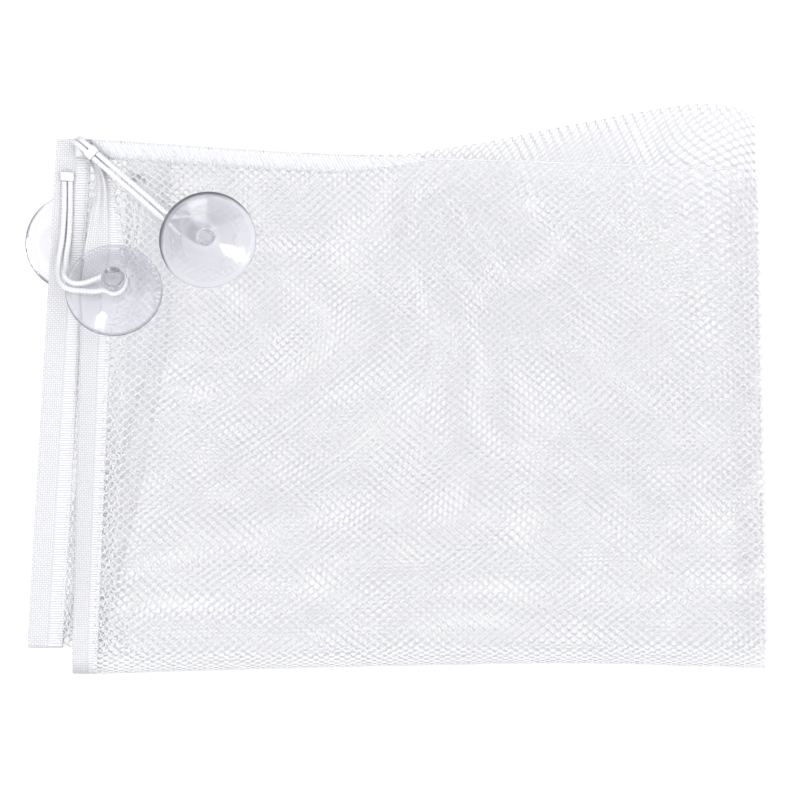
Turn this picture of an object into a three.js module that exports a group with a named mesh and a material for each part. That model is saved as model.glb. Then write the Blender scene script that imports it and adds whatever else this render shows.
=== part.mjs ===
// Bath toy organizer: a net bag with hem tapes, folded in half, with corded suction cups.
// Millimetres, +Z up. The bag lies on z = 0 with its fold along X at the front (low y),
// its mouth at the left (low x) and its closed bottom at the right.
// The origin is the middle of the underside.
import * as THREE from 'three';

// Cloth
const NET_THICKNESS = 0.8;
const TAPE_THICKNESS = 1.2;
const TAPE_WIDTH = 16.4;
const LOFT = 7; // clear height between the outer and the inner net of one half
const FOLD_GAP = 1.6; // clear height between the two inner nets at the fold
const SEW_GAP = 0.3; // clearance between neighbouring sewn pieces
const SEAM_WIDTH = 9; // overlocked side seam
const BOTTOM_SEAM_WIDTH = 4;
const SIDE_WALL = 0.8; // net wall of the loose side fold

// Plan of the folded bag: x along the bag, d away from the fold
const FOLD_Y = -122.4;
const BOTTOM_X = 172.6; // closed end at the fold
const BOTTOM_LEAN = 4.8; // how far the closed end leans in by the corner
const OUTER_HEM_X = -150.3; // free edge of the outer hem at the fold
const INNER_HEM_X = -171.2; // free edge of the inner hem at the fold
const HEM_LEAN = 14; // how far the upper inner hem leans in by the corner
const OUTER_HEM_LEAN = 5; // how far the upper outer hem leans in by its shoulder
const SHOULDER_D = 165; // where the upper outer hem turns towards the corner
const CORNER_X = -150;
const CORNER_D = 240;
const PINCHED_WIDTH = 12; // the gathered outer hem at the corner
const PINCH_RUN = 18; // how far from the corner the hem bends
const PINCH_STEP = 9;
const SEAM_DIP_X = 7; // the side seam sags to here
const SEAM_DIP_D = 231.5;
const SEAM_END_D = 226;
const INNER_FOLD_D = 5; // the inner panel folds this far inside the outer one
const LOWER_HEM_TURN_D = 150; // the lower hems are drawn back to here, clear of the third cup
const LOWER_OUTER_HEM_X = -121;
const LOWER_INNER_HEM_X = -125.6;
const LOWER_TOP_D = 231;
const BULGE_START_X = 7; // the loose side fold swells from here
const BULGE_X = 141.5; // to its crest here
const BULGE_D = 254.2;
const BULGE_ROUND = 18; // rounded shoulder at the closed end
const BULGE_EASE = 0.4; // share of the swell that each end of its curve stays level
const BULGE_STEPS = 7;
const FOLD_STEPS = 8;

// Diamond gaps of the net
const GAP_PITCH_X = 44;
const GAP_PITCH_D = 29;
const STRAND_WIDTH = 5;
const NET_MARGIN = 7;
const GRAIN_LEAN = 2.5; // degrees that the rows of the net lie off the fold
const GRAIN_BOW = 6; // how far the rows bow at the ends of a panel

// Suction cup, from its rim plane up to the top of its knob
const CUP_DIAMETER = 45;
const CUP_HEIGHT = 20;
const RIM_WIDTH = 1.6;
const RIM_THICKNESS = 0.9;
const CONE_HEIGHT = 9.5;
const CONE_CURVE = 1.3; // over 1 hollows the cone's outside
const HOLLOW_CURVE = 1.4; // over 1 rounds the crown of the hollow
const CROWN_WALL = 3.6;
const NECK_DIAMETER = 7;
const HEAD_DIAMETER = 11.2;
const HEAD_HEIGHT = 6;
const HEAD_CHAMFER = 1.2;
const HEAD_SIDE = 1.4;
const SEAT_GAP = 0.3; // between a cup and what it lies on
const CUP_SEGMENTS = 32;
const CONE_STEPS = 5;
const DOME_STEPS = 3;

// Cords and the bar tacks that sew their ends down
const CORD_DIAMETER = 2.4;
const CORD_SIDES = 8;
const CORD_STEP = 3;
const TACK_WIDTH = 6.6;
const TACK_LENGTH = 4;
const TACK_HEIGHT = 2.7;

// Places on the upper half, in its own plane: x, d, and the way that each piece leans or points, in degrees
const CUP_1 = { x: -86.8, d: 193.9, lean: 10, towards: -46 };
const CUP_2 = { x: -130.4, d: 170, lean: 23, towards: 90 };
const TACK_1 = { x: -141, d: 233.8, towards: -40.8 };
const TACK_2 = { x: -152.3, d: 222.4, towards: -90 };
// Places on the lower half and on the surface under the bag
const CUP_3 = { x: -150.1, d: 191.4 };
const TACK_3 = { x: -119.5, d: 221.4, towards: -90 };

// Routes of the cords: out along one strand, round the neck of the cup and back along the other.
// The first two are on the upper half, as x, d and height over the fold's mid plane.
const CORD_1_ROUTE = [
  [-140.2, 231.3, 10.9], [-135.9, 227.5, 10.9], [-126.8, 219.7, 10.9], [-116.2, 210.5, 11.1],
  [-107.2, 202.5, 12.4], [-99, 195.8, 15.2], [-91.4, 191, 17.7], [-87.4, 190, 17.1],
  [-83.8, 192.2, 16.9], [-82.9, 196.2, 17.3], [-85.1, 199.7, 18], [-94.4, 203.4, 15.6],
  [-104.9, 205.2, 12.4], [-114.4, 212.8, 11.1], [-125, 221.9, 10.9], [-134.1, 229.7, 10.9],
  [-138.4, 233.4, 10.9],
];
const CORD_2_ROUTE = [
  [-153.7, 220.1, 3.5], [-153.7, 214, 3.5], [-153.9, 205, 3.5], [-154.8, 193, 4.6],
  [-156.3, 183, 9], [-156, 176, 15.5], [-153.5, 172, 20.5], [-150, 170.6, 22.4],
  [-145, 170.2, 24.4], [-139, 170, 27.8], [-134.2, 170.7, 29.9], [-130.4, 169.2, 30.5],
  [-126.6, 170.7, 29.9], [-125, 174.2, 28.4], [-126.6, 177.7, 26.9], [-130.4, 179.2, 26.3],
  [-134.2, 177.7, 26.9], [-139, 175.5, 25.4], [-145, 173.6, 23.2], [-150, 173.9, 21.2],
  [-153.2, 176.6, 18.2], [-153, 180.5, 12.5], [-152.6, 186, 7.5], [-151.6, 194, 4.4],
  [-151, 205, 3.5], [-150.9, 214, 3.5], [-150.9, 220.1, 3.5],
];
// The third is on the lower half, as x, d and height over the surface under the bag.
const CORD_3_ROUTE = [
  [-120.9, 219.1, 10.1], [-121, 211.4, 10.1], [-122, 200.4, 10.1], [-124.6, 189.9, 10.3],
  [-129.4, 182.2, 10.8], [-135.6, 180.4, 11.3], [-140.4, 184.6, 11.6], [-143.2, 189.8, 11.7],
  [-145.8, 194.6, 11.7], [-149.3, 196.8, 11.7], [-153.3, 195.7, 11.7], [-155.5, 192.2, 11.7],
  [-154.4, 188.2, 11.7], [-150.6, 182.6, 11.7], [-145.5, 178.2, 11.4], [-138.5, 175.3, 11],
  [-130.8, 175.8, 10.7], [-124.6, 181, 10.4], [-120.9, 189.4, 10.2], [-118.8, 200.4, 10.1],
  [-118.1, 211.4, 10.1], [-118.1, 219.1, 10.1],
];

// Distances from the fold's mid plane out to each layer
const INNER_NEAR = FOLD_GAP / 2;
const OUTER_NEAR = INNER_NEAR + NET_THICKNESS + LOFT;
const HALF_REACH = OUTER_NEAR + NET_THICKNESS;
const OUTER_TAPE_NEAR = HALF_REACH - TAPE_THICKNESS;
const SEAM_NEAR = INNER_NEAR + TAPE_THICKNESS + SEW_GAP;
const SEAM_HEIGHT = OUTER_TAPE_NEAR - SEW_GAP - SEAM_NEAR;
const WALL_NEAR = INNER_NEAR + NET_THICKNESS + SEW_GAP;
const WALL_HEIGHT = OUTER_NEAR - SEW_GAP - WALL_NEAR;
const FOLD_Z = HALF_REACH;
// The upper half leans on the knob of the third cup.
const PROP_ANGLE = Math.asin((CUP_HEIGHT + 2 * SEAT_GAP - FOLD_Z - INNER_NEAR) / CUP_3.d);

const finish = {
  net: new THREE.MeshStandardMaterial({ color: 0xf1f1f8, roughness: 0.55, metalness: 0 }),
  tape: new THREE.MeshStandardMaterial({ color: 0xf5f5fa, roughness: 0.8, metalness: 0 }),
  seam: new THREE.MeshStandardMaterial({ color: 0xf3f3f8, roughness: 0.85, metalness: 0 }),
  cord: new THREE.MeshStandardMaterial({ color: 0xf6f6fa, roughness: 0.75, metalness: 0 }),
  cup: new THREE.MeshStandardMaterial({
    color: 0xdcdce8, roughness: 0.12, metalness: 0, transparent: true, opacity: 0.4,
  }),
};

const organizer = new THREE.Group();
const lowerHalf = new THREE.Group();
const upperHalf = new THREE.Group();
lowerHalf.position.set(0, FOLD_Y, FOLD_Z);
upperHalf.position.set(0, FOLD_Y, FOLD_Z);
upperHalf.rotation.x = PROP_ANGLE;
organizer.add(lowerHalf, upperHalf);

const point = (x, d) => new THREE.Vector2(x, d);
const radians = THREE.MathUtils.degToRad;

function addMesh(parent, name, geometry, material) {
  const mesh = new THREE.Mesh(geometry, material);
  mesh.name = name;
  parent.add(mesh);
  return mesh;
}

// Lines and outlines in the plane of the bag

// Moves a line of points sideways, to the right of its direction.
function offsetLine(line, distance) {
  return line.map((at, i) => {
    const before = line[Math.max(i - 1, 0)];
    const after = line[Math.min(i + 1, line.length - 1)];
    const along = after.clone().sub(before).normalize();
    return point(at.x + along.y * distance, at.y - along.x * distance);
  });
}

const band = (line, near, far) => [...offsetLine(line, near), ...offsetLine(line, far).reverse()];

const shiftX = (line, distance) => line.map((at) => point(at.x + distance, at.y));

function isInside(outline, at) {
  let inside = false;
  outline.forEach((a, i) => {
    const b = outline[(i + 1) % outline.length];
    const spans = (a.y > at.y) !== (b.y > at.y);
    if (spans && at.x < ((b.x - a.x) * (at.y - a.y)) / (b.y - a.y) + a.x) inside = !inside;
  });
  return inside;
}

function distanceToEdge(outline, at) {
  const distances = outline.map((a, i) => {
    const edge = outline[(i + 1) % outline.length].clone().sub(a);
    const share = THREE.MathUtils.clamp(at.clone().sub(a).dot(edge) / edge.lengthSq(), 0, 1);
    return at.distanceTo(a.clone().addScaledVector(edge, share));
  });
  return Math.min(...distances);
}

// Staggered rows of diamond gaps, leaning with the grain, that keep the margin to the outline.
function diamondGaps(outline) {
  const box = new THREE.Box2().setFromPoints(outline);
  const middle = box.getCenter(point(0, 0));
  const halfLength = (box.max.x - box.min.x) / 2;
  const bow = (x) => GRAIN_BOW * ((x - middle.x) / halfLength) ** 2;
  const halfX = (GAP_PITCH_X - STRAND_WIDTH) / 2;
  const halfD = (GAP_PITCH_D - STRAND_WIDTH) / 2;
  const rowPitch = GAP_PITCH_D / 2;
  const gaps = [];
  for (let row = 0; row * rowPitch < box.max.y - box.min.y; row += 1) {
    const d = box.min.y + row * rowPitch;
    const stagger = (row % 2) * (GAP_PITCH_X / 2);
    for (let x = box.min.x + stagger; x < box.max.x; x += GAP_PITCH_X) {
      const corners = [point(x - halfX, d), point(x, d - halfD), point(x + halfX, d), point(x, d + halfD)];
      corners.forEach((at) => at.setY(at.y + bow(at.x)).rotateAround(middle, radians(GRAIN_LEAN)));
      const clear = corners.every((at) => isInside(outline, at) && distanceToEdge(outline, at) > NET_MARGIN);
      if (clear) gaps.push(corners);
    }
  }
  return gaps;
}

// Flat layers. The halves mirror each other about the fold's mid plane.
function addLayer(half, name, outline, near, thickness, material, gaps = []) {
  const shape = new THREE.Shape(outline);
  shape.holes = gaps.map((gap) => new THREE.Path(gap));
  const geometry = new THREE.ExtrudeGeometry(shape, { depth: thickness, bevelEnabled: false });
  geometry.translate(0, 0, half === upperHalf ? near : -near - thickness);
  return addMesh(half, name, geometry, material);
}

function addNet(half, name, outline, near) {
  return addLayer(half, name, outline, near, NET_THICKNESS, finish.net, diamondGaps(outline));
}

function addTape(half, name, freeEdge, sewnEdge, near) {
  const outline = [...freeEdge, ...[...sewnEdge].reverse()];
  return addLayer(half, name, outline, near, TAPE_THICKNESS, finish.tape);
}

// Edges of the panels
const bottomX = (d) => BOTTOM_X - (BOTTOM_LEAN * d) / CORNER_D;

const outerHem = [
  point(OUTER_HEM_X, SEW_GAP),
  point(OUTER_HEM_X + OUTER_HEM_LEAN, SHOULDER_D),
  point(CORNER_X + PINCH_STEP, CORNER_D - PINCH_RUN),
  point(CORNER_X, CORNER_D),
];
const outerHemSewn = [...shiftX(outerHem.slice(0, 3), TAPE_WIDTH), point(CORNER_X + PINCHED_WIDTH, CORNER_D)];
const innerHem = [point(INNER_HEM_X, INNER_FOLD_D + SEW_GAP), point(INNER_HEM_X + HEM_LEAN, CORNER_D)];
const lowerOuterHem = [
  point(OUTER_HEM_X, SEW_GAP),
  point(LOWER_OUTER_HEM_X, LOWER_HEM_TURN_D),
  point(LOWER_OUTER_HEM_X, LOWER_TOP_D),
];
const lowerInnerHem = [
  point(INNER_HEM_X, INNER_FOLD_D + SEW_GAP),
  point(LOWER_INNER_HEM_X, LOWER_HEM_TURN_D),
  point(LOWER_INNER_HEM_X, LOWER_TOP_D),
];
const sideSeam = [
  point(CORNER_X, CORNER_D),
  point(SEAM_DIP_X, SEAM_DIP_D),
  point(bottomX(SEAM_END_D), SEAM_END_D),
];

// The loose side fold: level under the side seam, swelling to its crest, then rounded into the closed end.
function looseSide() {
  const endD = BULGE_D - BULGE_ROUND;
  const ease = (BULGE_X - BULGE_START_X) * BULGE_EASE;
  const path = new THREE.Path();
  path.moveTo(BULGE_START_X, LOWER_TOP_D);
  path.bezierCurveTo(BULGE_START_X + ease, LOWER_TOP_D, BULGE_X - ease, BULGE_D, BULGE_X, BULGE_D);
  path.quadraticCurveTo(bottomX(endD), BULGE_D, bottomX(endD), endD);
  return path.getPoints(BULGE_STEPS);
}
const lowerSide = looseSide();

const closedEnd = (startD, endD) => [point(bottomX(endD), endD), point(bottomX(startD), startD)];

// A net outline runs up the hem, along the side edge, and back down the closed end.
function netOutline(sewnEdge, sideEdge, startD) {
  return [...shiftX(sewnEdge, SEW_GAP), ...sideEdge, point(bottomX(startD), startD)];
}

// Upper half
const upperSide = sideSeam.slice(1);
addTape(upperHalf, 'outer_tape_upper', outerHem, outerHemSewn, OUTER_TAPE_NEAR);
addTape(upperHalf, 'inner_tape_upper', innerHem, shiftX(innerHem, TAPE_WIDTH), INNER_NEAR);
addNet(upperHalf, 'outer_net_upper', netOutline(outerHemSewn, upperSide, SEW_GAP), OUTER_NEAR);
addNet(
  upperHalf,
  'inner_net_upper',
  netOutline(shiftX(innerHem, TAPE_WIDTH), upperSide, INNER_FOLD_D + SEW_GAP),
  INNER_NEAR,
);
addLayer(upperHalf, 'side_seam', band(sideSeam, SEW_GAP, SEAM_WIDTH), SEAM_NEAR, SEAM_HEIGHT, finish.seam);
addLayer(
  upperHalf,
  'bottom_seam_upper',
  band(closedEnd(INNER_FOLD_D, SEAM_END_D - SEAM_WIDTH - SEW_GAP), SEW_GAP, BOTTOM_SEAM_WIDTH),
  WALL_NEAR,
  WALL_HEIGHT,
  finish.seam,
);

// Lower half
addTape(lowerHalf, 'outer_tape_lower', lowerOuterHem, shiftX(lowerOuterHem, TAPE_WIDTH), OUTER_TAPE_NEAR);
addTape(lowerHalf, 'inner_tape_lower', lowerInnerHem, shiftX(lowerInnerHem, TAPE_WIDTH), INNER_NEAR);
addNet(
  lowerHalf,
  'outer_net_lower',
  netOutline(shiftX(lowerOuterHem, TAPE_WIDTH), lowerSide, SEW_GAP),
  OUTER_NEAR,
);
addNet(
  lowerHalf,
  'inner_net_lower',
  netOutline(shiftX(lowerInnerHem, TAPE_WIDTH), lowerSide, INNER_FOLD_D + SEW_GAP),
  INNER_NEAR,
);
const sideWallLine = [point(LOWER_OUTER_HEM_X, LOWER_TOP_D), ...lowerSide];
addLayer(
  lowerHalf,
  'side_fold_lower',
  band(sideWallLine, SEW_GAP, SEW_GAP + SIDE_WALL),
  SEAM_NEAR,
  SEAM_HEIGHT,
  finish.net,
);
addLayer(
  lowerHalf,
  'bottom_seam_lower',
  band(closedEnd(INNER_FOLD_D, BULGE_D - BULGE_ROUND - SEW_GAP), SEW_GAP, BOTTOM_SEAM_WIDTH),
  WALL_NEAR,
  WALL_HEIGHT,
  finish.seam,
);

// Where a layer turns round the fold: a half ring from the lower edge to the upper one, along X.
function addFold(name, startX, endX, foldD, near, thickness, material) {
  const reach = near + thickness / 2;
  const lowerEdge = point(foldD, -reach);
  const upperEdge = point(foldD, reach).rotateAround(point(0, 0), PROP_ANGLE);
  const centre = lowerEdge.clone().add(upperEdge).multiplyScalar(0.5);
  const radius = lowerEdge.distanceTo(upperEdge) / 2;
  const startAngle = upperEdge.clone().sub(centre).angle();
  const endAngle = lowerEdge.clone().sub(centre).angle();
  const ring = new THREE.Shape();
  ring.absarc(centre.x, centre.y, radius + thickness / 2, startAngle, endAngle, false);
  ring.absarc(centre.x, centre.y, radius - thickness / 2, endAngle, startAngle, true);
  const depth = endX - startX;
  const options = { depth, bevelEnabled: false, curveSegments: FOLD_STEPS };
  const geometry = new THREE.ExtrudeGeometry(ring, options);
  geometry.applyMatrix4(new THREE.Matrix4().makeBasis(
    new THREE.Vector3(0, 1, 0),
    new THREE.Vector3(0, 0, 1),
    new THREE.Vector3(1, 0, 0),
  ));
  geometry.translate(startX, 0, 0);
  return addMesh(lowerHalf, name, geometry, material);
}

const outerSewnX = OUTER_HEM_X + TAPE_WIDTH;
const innerSewnX = INNER_HEM_X + TAPE_WIDTH;
addFold('outer_tape_fold', OUTER_HEM_X, outerSewnX, 0, OUTER_TAPE_NEAR, TAPE_THICKNESS, finish.tape);
addFold('outer_net_fold', outerSewnX + SEW_GAP, BOTTOM_X, 0, OUTER_NEAR, NET_THICKNESS, finish.net);
addFold('inner_tape_fold', INNER_HEM_X, innerSewnX, INNER_FOLD_D, INNER_NEAR, TAPE_THICKNESS, finish.tape);
const innerNetX = innerSewnX + SEW_GAP;
addFold('inner_net_fold', innerNetX, BOTTOM_X, INNER_FOLD_D, INNER_NEAR, NET_THICKNESS, finish.net);

// Suction cups

// Half section of a cup: the hollow from the axis out, the rim, the cone, the neck and the knob.
function cupProfile() {
  const rimRadius = CUP_DIAMETER / 2;
  const hollowRadius = rimRadius - RIM_WIDTH;
  const neckRadius = NECK_DIAMETER / 2;
  const headRadius = HEAD_DIAMETER / 2;
  const headStart = CUP_HEIGHT - HEAD_HEIGHT;
  const domeStart = headStart + HEAD_CHAMFER + HEAD_SIDE;
  const profile = [];
  for (let i = 0; i <= CONE_STEPS; i += 1) {
    const share = i / CONE_STEPS;
    profile.push(point(hollowRadius * share, (CONE_HEIGHT - CROWN_WALL) * (1 - share ** HOLLOW_CURVE)));
  }
  for (let i = 0; i <= CONE_STEPS; i += 1) {
    const share = i / CONE_STEPS;
    const rise = (CONE_HEIGHT - RIM_THICKNESS) * share ** CONE_CURVE;
    if (i === 0) profile.push(point(rimRadius, 0));
    profile.push(point(rimRadius + (neckRadius - rimRadius) * share, RIM_THICKNESS + rise));
  }
  profile.push(point(neckRadius, headStart), point(headRadius, headStart + HEAD_CHAMFER));
  for (let i = 0; i <= DOME_STEPS; i += 1) {
    const angle = (Math.PI / 2) * (i / DOME_STEPS);
    const radius = i === DOME_STEPS ? 0 : headRadius * Math.cos(angle);
    profile.push(point(radius, domeStart + (CUP_HEIGHT - domeStart) * Math.sin(angle)));
  }
  return profile;
}

function cupGeometry() {
  const geometry = new THREE.LatheGeometry(cupProfile(), CUP_SEGMENTS);
  geometry.rotateX(Math.PI / 2);
  return geometry;
}

// The way an axis points that leans off the vertical towards a compass direction of the plan.
function leaning({ lean, towards }) {
  const side = Math.sin(radians(lean));
  const heading = radians(towards);
  return new THREE.Vector3(side * Math.cos(heading), side * Math.sin(heading), Math.cos(radians(lean)));
}

// Lays a cup on the outer net of the upper half, with its rim's centre over the given place.
function addCupOnNet(name, place, knobUp) {
  const axis = leaning(place).multiplyScalar(knobUp ? 1 : -1);
  const geometry = cupGeometry();
  geometry.applyQuaternion(new THREE.Quaternion().setFromUnitVectors(new THREE.Vector3(0, 0, 1), axis));
  geometry.computeBoundingBox();
  const mesh = addMesh(upperHalf, name, geometry, finish.cup);
  mesh.position.set(place.x, place.d, HALF_REACH + SEAT_GAP - geometry.boundingBox.min.z);
  return mesh;
}

addCupOnNet('suction_cup_1', CUP_1, false);
addCupOnNet('suction_cup_2', CUP_2, true);
addMesh(lowerHalf, 'suction_cup_3', cupGeometry(), finish.cup).position.set(CUP_3.x, CUP_3.d, -FOLD_Z);

// Cords

function addTack(half, name, place, height) {
  const tack = addMesh(half, name, new THREE.BoxGeometry(TACK_LENGTH, TACK_WIDTH, TACK_HEIGHT), finish.seam);
  tack.position.set(place.x, place.d, height + SEW_GAP + TACK_HEIGHT / 2);
  tack.rotation.z = radians(place.towards);
}

addTack(upperHalf, 'cord_tack_1', TACK_1, HALF_REACH);
addTack(upperHalf, 'cord_tack_2', TACK_2, INNER_NEAR + TAPE_THICKNESS);
addTack(lowerHalf, 'cord_tack_3', TACK_3, -INNER_NEAR);

function addCord(half, name, route, base) {
  const places = route.map(([x, d, height]) => new THREE.Vector3(x, d, base + height));
  const curve = new THREE.CatmullRomCurve3(places);
  const steps = Math.round(curve.getLength() / CORD_STEP);
  const section = [];
  for (let i = 0; i < CORD_SIDES; i += 1) {
    const angle = (2 * Math.PI * i) / CORD_SIDES;
    section.push(point(Math.cos(angle), Math.sin(angle)).multiplyScalar(CORD_DIAMETER / 2));
  }
  const options = { steps, extrudePath: curve, bevelEnabled: false };
  addMesh(half, name, new THREE.ExtrudeGeometry(new THREE.Shape(section), options), finish.cord);
}

addCord(upperHalf, 'cord_1', CORD_1_ROUTE, 0);
addCord(upperHalf, 'cord_2', CORD_2_ROUTE, 0);
addCord(lowerHalf, 'cord_3', CORD_3_ROUTE, -FOLD_Z);

export default organizer;
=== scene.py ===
"""Looks of a bath toy organizer: a net bag folded in half, with hem tapes, cords and clear suction cups.

The bag lies folded on the floor, with its mouth at low x, its fold at low y and its closed end at high x.
Sizes are in millimetres, and points become metres only when a mesh is made. A place on one half of the bag
is x along the fold, d away from the fold, and h away from the plane in the middle of the fold.
"""

import logging
import math
from collections.abc import Sequence
from dataclasses import dataclass, field
from enum import Enum

import bpy
import numpy as np
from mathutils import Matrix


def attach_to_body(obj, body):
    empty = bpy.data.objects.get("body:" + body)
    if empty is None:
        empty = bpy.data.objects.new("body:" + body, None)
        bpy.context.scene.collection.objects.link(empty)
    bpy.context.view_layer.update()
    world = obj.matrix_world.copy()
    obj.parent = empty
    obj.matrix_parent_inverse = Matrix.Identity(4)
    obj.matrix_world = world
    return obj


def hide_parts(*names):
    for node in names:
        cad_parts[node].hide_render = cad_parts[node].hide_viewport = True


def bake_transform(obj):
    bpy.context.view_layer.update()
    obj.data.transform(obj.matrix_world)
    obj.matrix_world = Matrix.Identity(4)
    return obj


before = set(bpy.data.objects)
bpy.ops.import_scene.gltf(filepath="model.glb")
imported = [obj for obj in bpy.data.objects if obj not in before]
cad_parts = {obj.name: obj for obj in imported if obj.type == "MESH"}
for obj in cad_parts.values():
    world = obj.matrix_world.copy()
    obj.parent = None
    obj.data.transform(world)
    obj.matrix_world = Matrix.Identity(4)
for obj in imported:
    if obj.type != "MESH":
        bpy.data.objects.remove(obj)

Array = np.ndarray
Faces = Sequence[Array]
Color = tuple[float, float, float]
Point = tuple[float, float, float]

log = logging.getLogger("organizer")

MM = 0.001
UP = np.array([0.0, 0.0, 1.0])
CORD_DIAMETER = 2.6
BRAID_STEP = 0.24


class Half(Enum):
    """The two halves of the folded bag, by the body that each rides on."""

    LOWER = "lower_half"
    UPPER = "upper_half"


class Layer(Enum):
    """The two panels of the bag: the one outside the fold and the one inside it."""

    OUTER = "outer"
    INNER = "inner"


# Shapes


def smoothstep(low: float, high: float, value: Array) -> Array:
    """Rises from 0 at low to 1 at high along an S-shaped cubic.

    Args:
        low: Value where the rise starts.
        high: Value where the rise ends.
        value: Values to ease.

    Returns:
        The eased shares, from 0 to 1.
    """
    share = np.clip((value - low) / (high - low), 0.0, 1.0)
    return share * share * (3.0 - 2.0 * share)


def unit(vectors: Array) -> Array:
    """Vectors in the last axis, scaled to a length of 1."""
    return vectors / np.linalg.norm(vectors, axis=-1, keepdims=True)


def rounded(distance: Array, radius: float) -> Array:
    """The height of a quarter circle over its edge, as a share: 0 at the edge and 1 a radius away from it."""
    return np.sqrt(1.0 - (1.0 - np.clip(distance / radius, 0.0, 1.0)) ** 2)


def spline(points: Array, step: float) -> Array:
    """A smooth line through points: a centripetal Catmull-Rom curve, cut into even steps.

    Each span is the cubic whose end slopes weigh the neighbouring spans by the root of their lengths.

    Args:
        points: The points to pass through, as rows.
        step: Wanted distance between the points of the line.

    Returns:
        Points along the line, about a step apart.
    """
    padded = np.vstack([2 * points[0] - points[1], points, 2 * points[-1] - points[-2]])
    gaps = np.sqrt(np.linalg.norm(np.diff(padded, axis=0), axis=1))[:, None]
    before, first, last, after = padded[:-3], padded[1:-2], padded[2:-1], padded[3:]
    g0, g1, g2 = gaps[:-2], gaps[1:-1], gaps[2:]
    leave = g1 * ((first - before) / g0 - (last - before) / (g0 + g1) + (last - first) / g1)
    reach = g1 * ((last - first) / g1 - (after - first) / (g1 + g2) + (after - last) / g2)
    t = np.linspace(0.0, 1.0, 40, endpoint=False)[None, :, None]
    a, b, c, e = (part[:, None, :] for part in (first, last, leave, reach))
    fine = (
        (2 * t**3 - 3 * t**2 + 1) * a + (t**3 - 2 * t**2 + t) * c + (3 * t**2 - 2 * t**3) * b + (t**3 - t**2) * e
    )
    fine = np.vstack([fine.reshape(-1, points.shape[1]), points[-1]])
    return even(fine, step)


def even(line: Array, step: float) -> Array:
    """The same line with its points a step apart, by distance along it."""
    along = np.concatenate([[0.0], np.cumsum(np.linalg.norm(np.diff(line, axis=0), axis=1))])
    places = np.linspace(0.0, along[-1], max(2, round(along[-1] / step) + 1))
    return np.stack([np.interp(places, along, column) for column in line.T], axis=1)


@dataclass(frozen=True)
class Tubes:
    """Several tubes: a regular polygon carried square along each line.

    Attributes:
        lines: Centre lines, as an array of line, step and coordinate.
        radius: Radius, or radii by line, step and side.
        sides: Corners of the polygon.
        up: The way that the first corner points.
    """

    lines: Array
    radius: float | Array
    sides: int
    up: Array = field(default_factory=lambda: UP)

    def points(self) -> Array:
        """Corner points: the centre plus the radius times the across and over directions turned by each angle."""
        along = unit(np.gradient(self.lines, axis=1))
        across = unit(np.cross(along, self.up))
        over = np.cross(across, along)
        turn = (math.pi / 2 + np.arange(self.sides) * 2 * math.pi / self.sides)[:, None]
        ring = np.cos(turn) * across[:, :, None, :] + np.sin(turn) * over[:, :, None, :]
        radius = np.broadcast_to(self.radius, (*self.lines.shape[:2], self.sides))
        return (self.lines[:, :, None, :] + radius[..., None] * ring).reshape(-1, 3)

    def faces(self) -> Faces:
        """Quads between neighbouring polygons, and the two end polygons of each tube."""
        count, steps = self.lines.shape[:2]
        index = np.arange(count * steps * self.sides).reshape(count, steps, self.sides)
        after = np.roll(index, -1, axis=2)
        walls = np.stack([index[:, :-1], index[:, 1:], after[:, 1:], after[:, :-1]], axis=-1)
        caps = np.concatenate([index[:, 0], index[:, -1, ::-1]])
        return [walls.reshape(-1, 4), caps]

    def shape(self) -> tuple[Array, Faces]:
        """The points and the faces."""
        return self.points(), self.faces()


def joined(*shapes: tuple[Array, Faces]) -> tuple[Array, Faces]:
    """Several shapes as one: their points in a row, and their faces counted on."""
    starts = np.cumsum([0] + [len(points) for points, _ in shapes])
    faces = [part + start for (_, parts), start in zip(shapes, starts) for part in parts]
    return np.vstack([points for points, _ in shapes]), faces


def band_faces(rows: int, sides: int) -> tuple[Array, Array]:
    """Faces of a band: a grid of points whose rows close on themselves.

    Args:
        rows: Number of rows.
        sides: Points in each row.

    Returns:
        Indices by row and side, and the quads between neighbouring rows, from a point to the next one in its row.
    """
    index = np.arange(rows * sides).reshape(rows, sides)
    after = np.roll(index, -1, axis=1)
    return index, np.stack([index[:-1], after[:-1], after[1:], index[1:]], axis=-1).reshape(-1, 4)


def zigzag(cells: int, knot: float) -> tuple[Array, Array]:
    """A strand's zigzag: places counted in cells, and the side that each place is on, 1 or -1.

    Args:
        cells: Cells along the strand.
        knot: Share of a cell for which the strand runs along its neighbour.

    Returns:
        Four places and sides for each cell.
    """
    places = (np.arange(cells)[:, None] + np.array([0.0, knot, 0.5, 0.5 + knot])).ravel()
    return places, np.tile([1.0, 1.0, -1.0, -1.0], cells)


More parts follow.
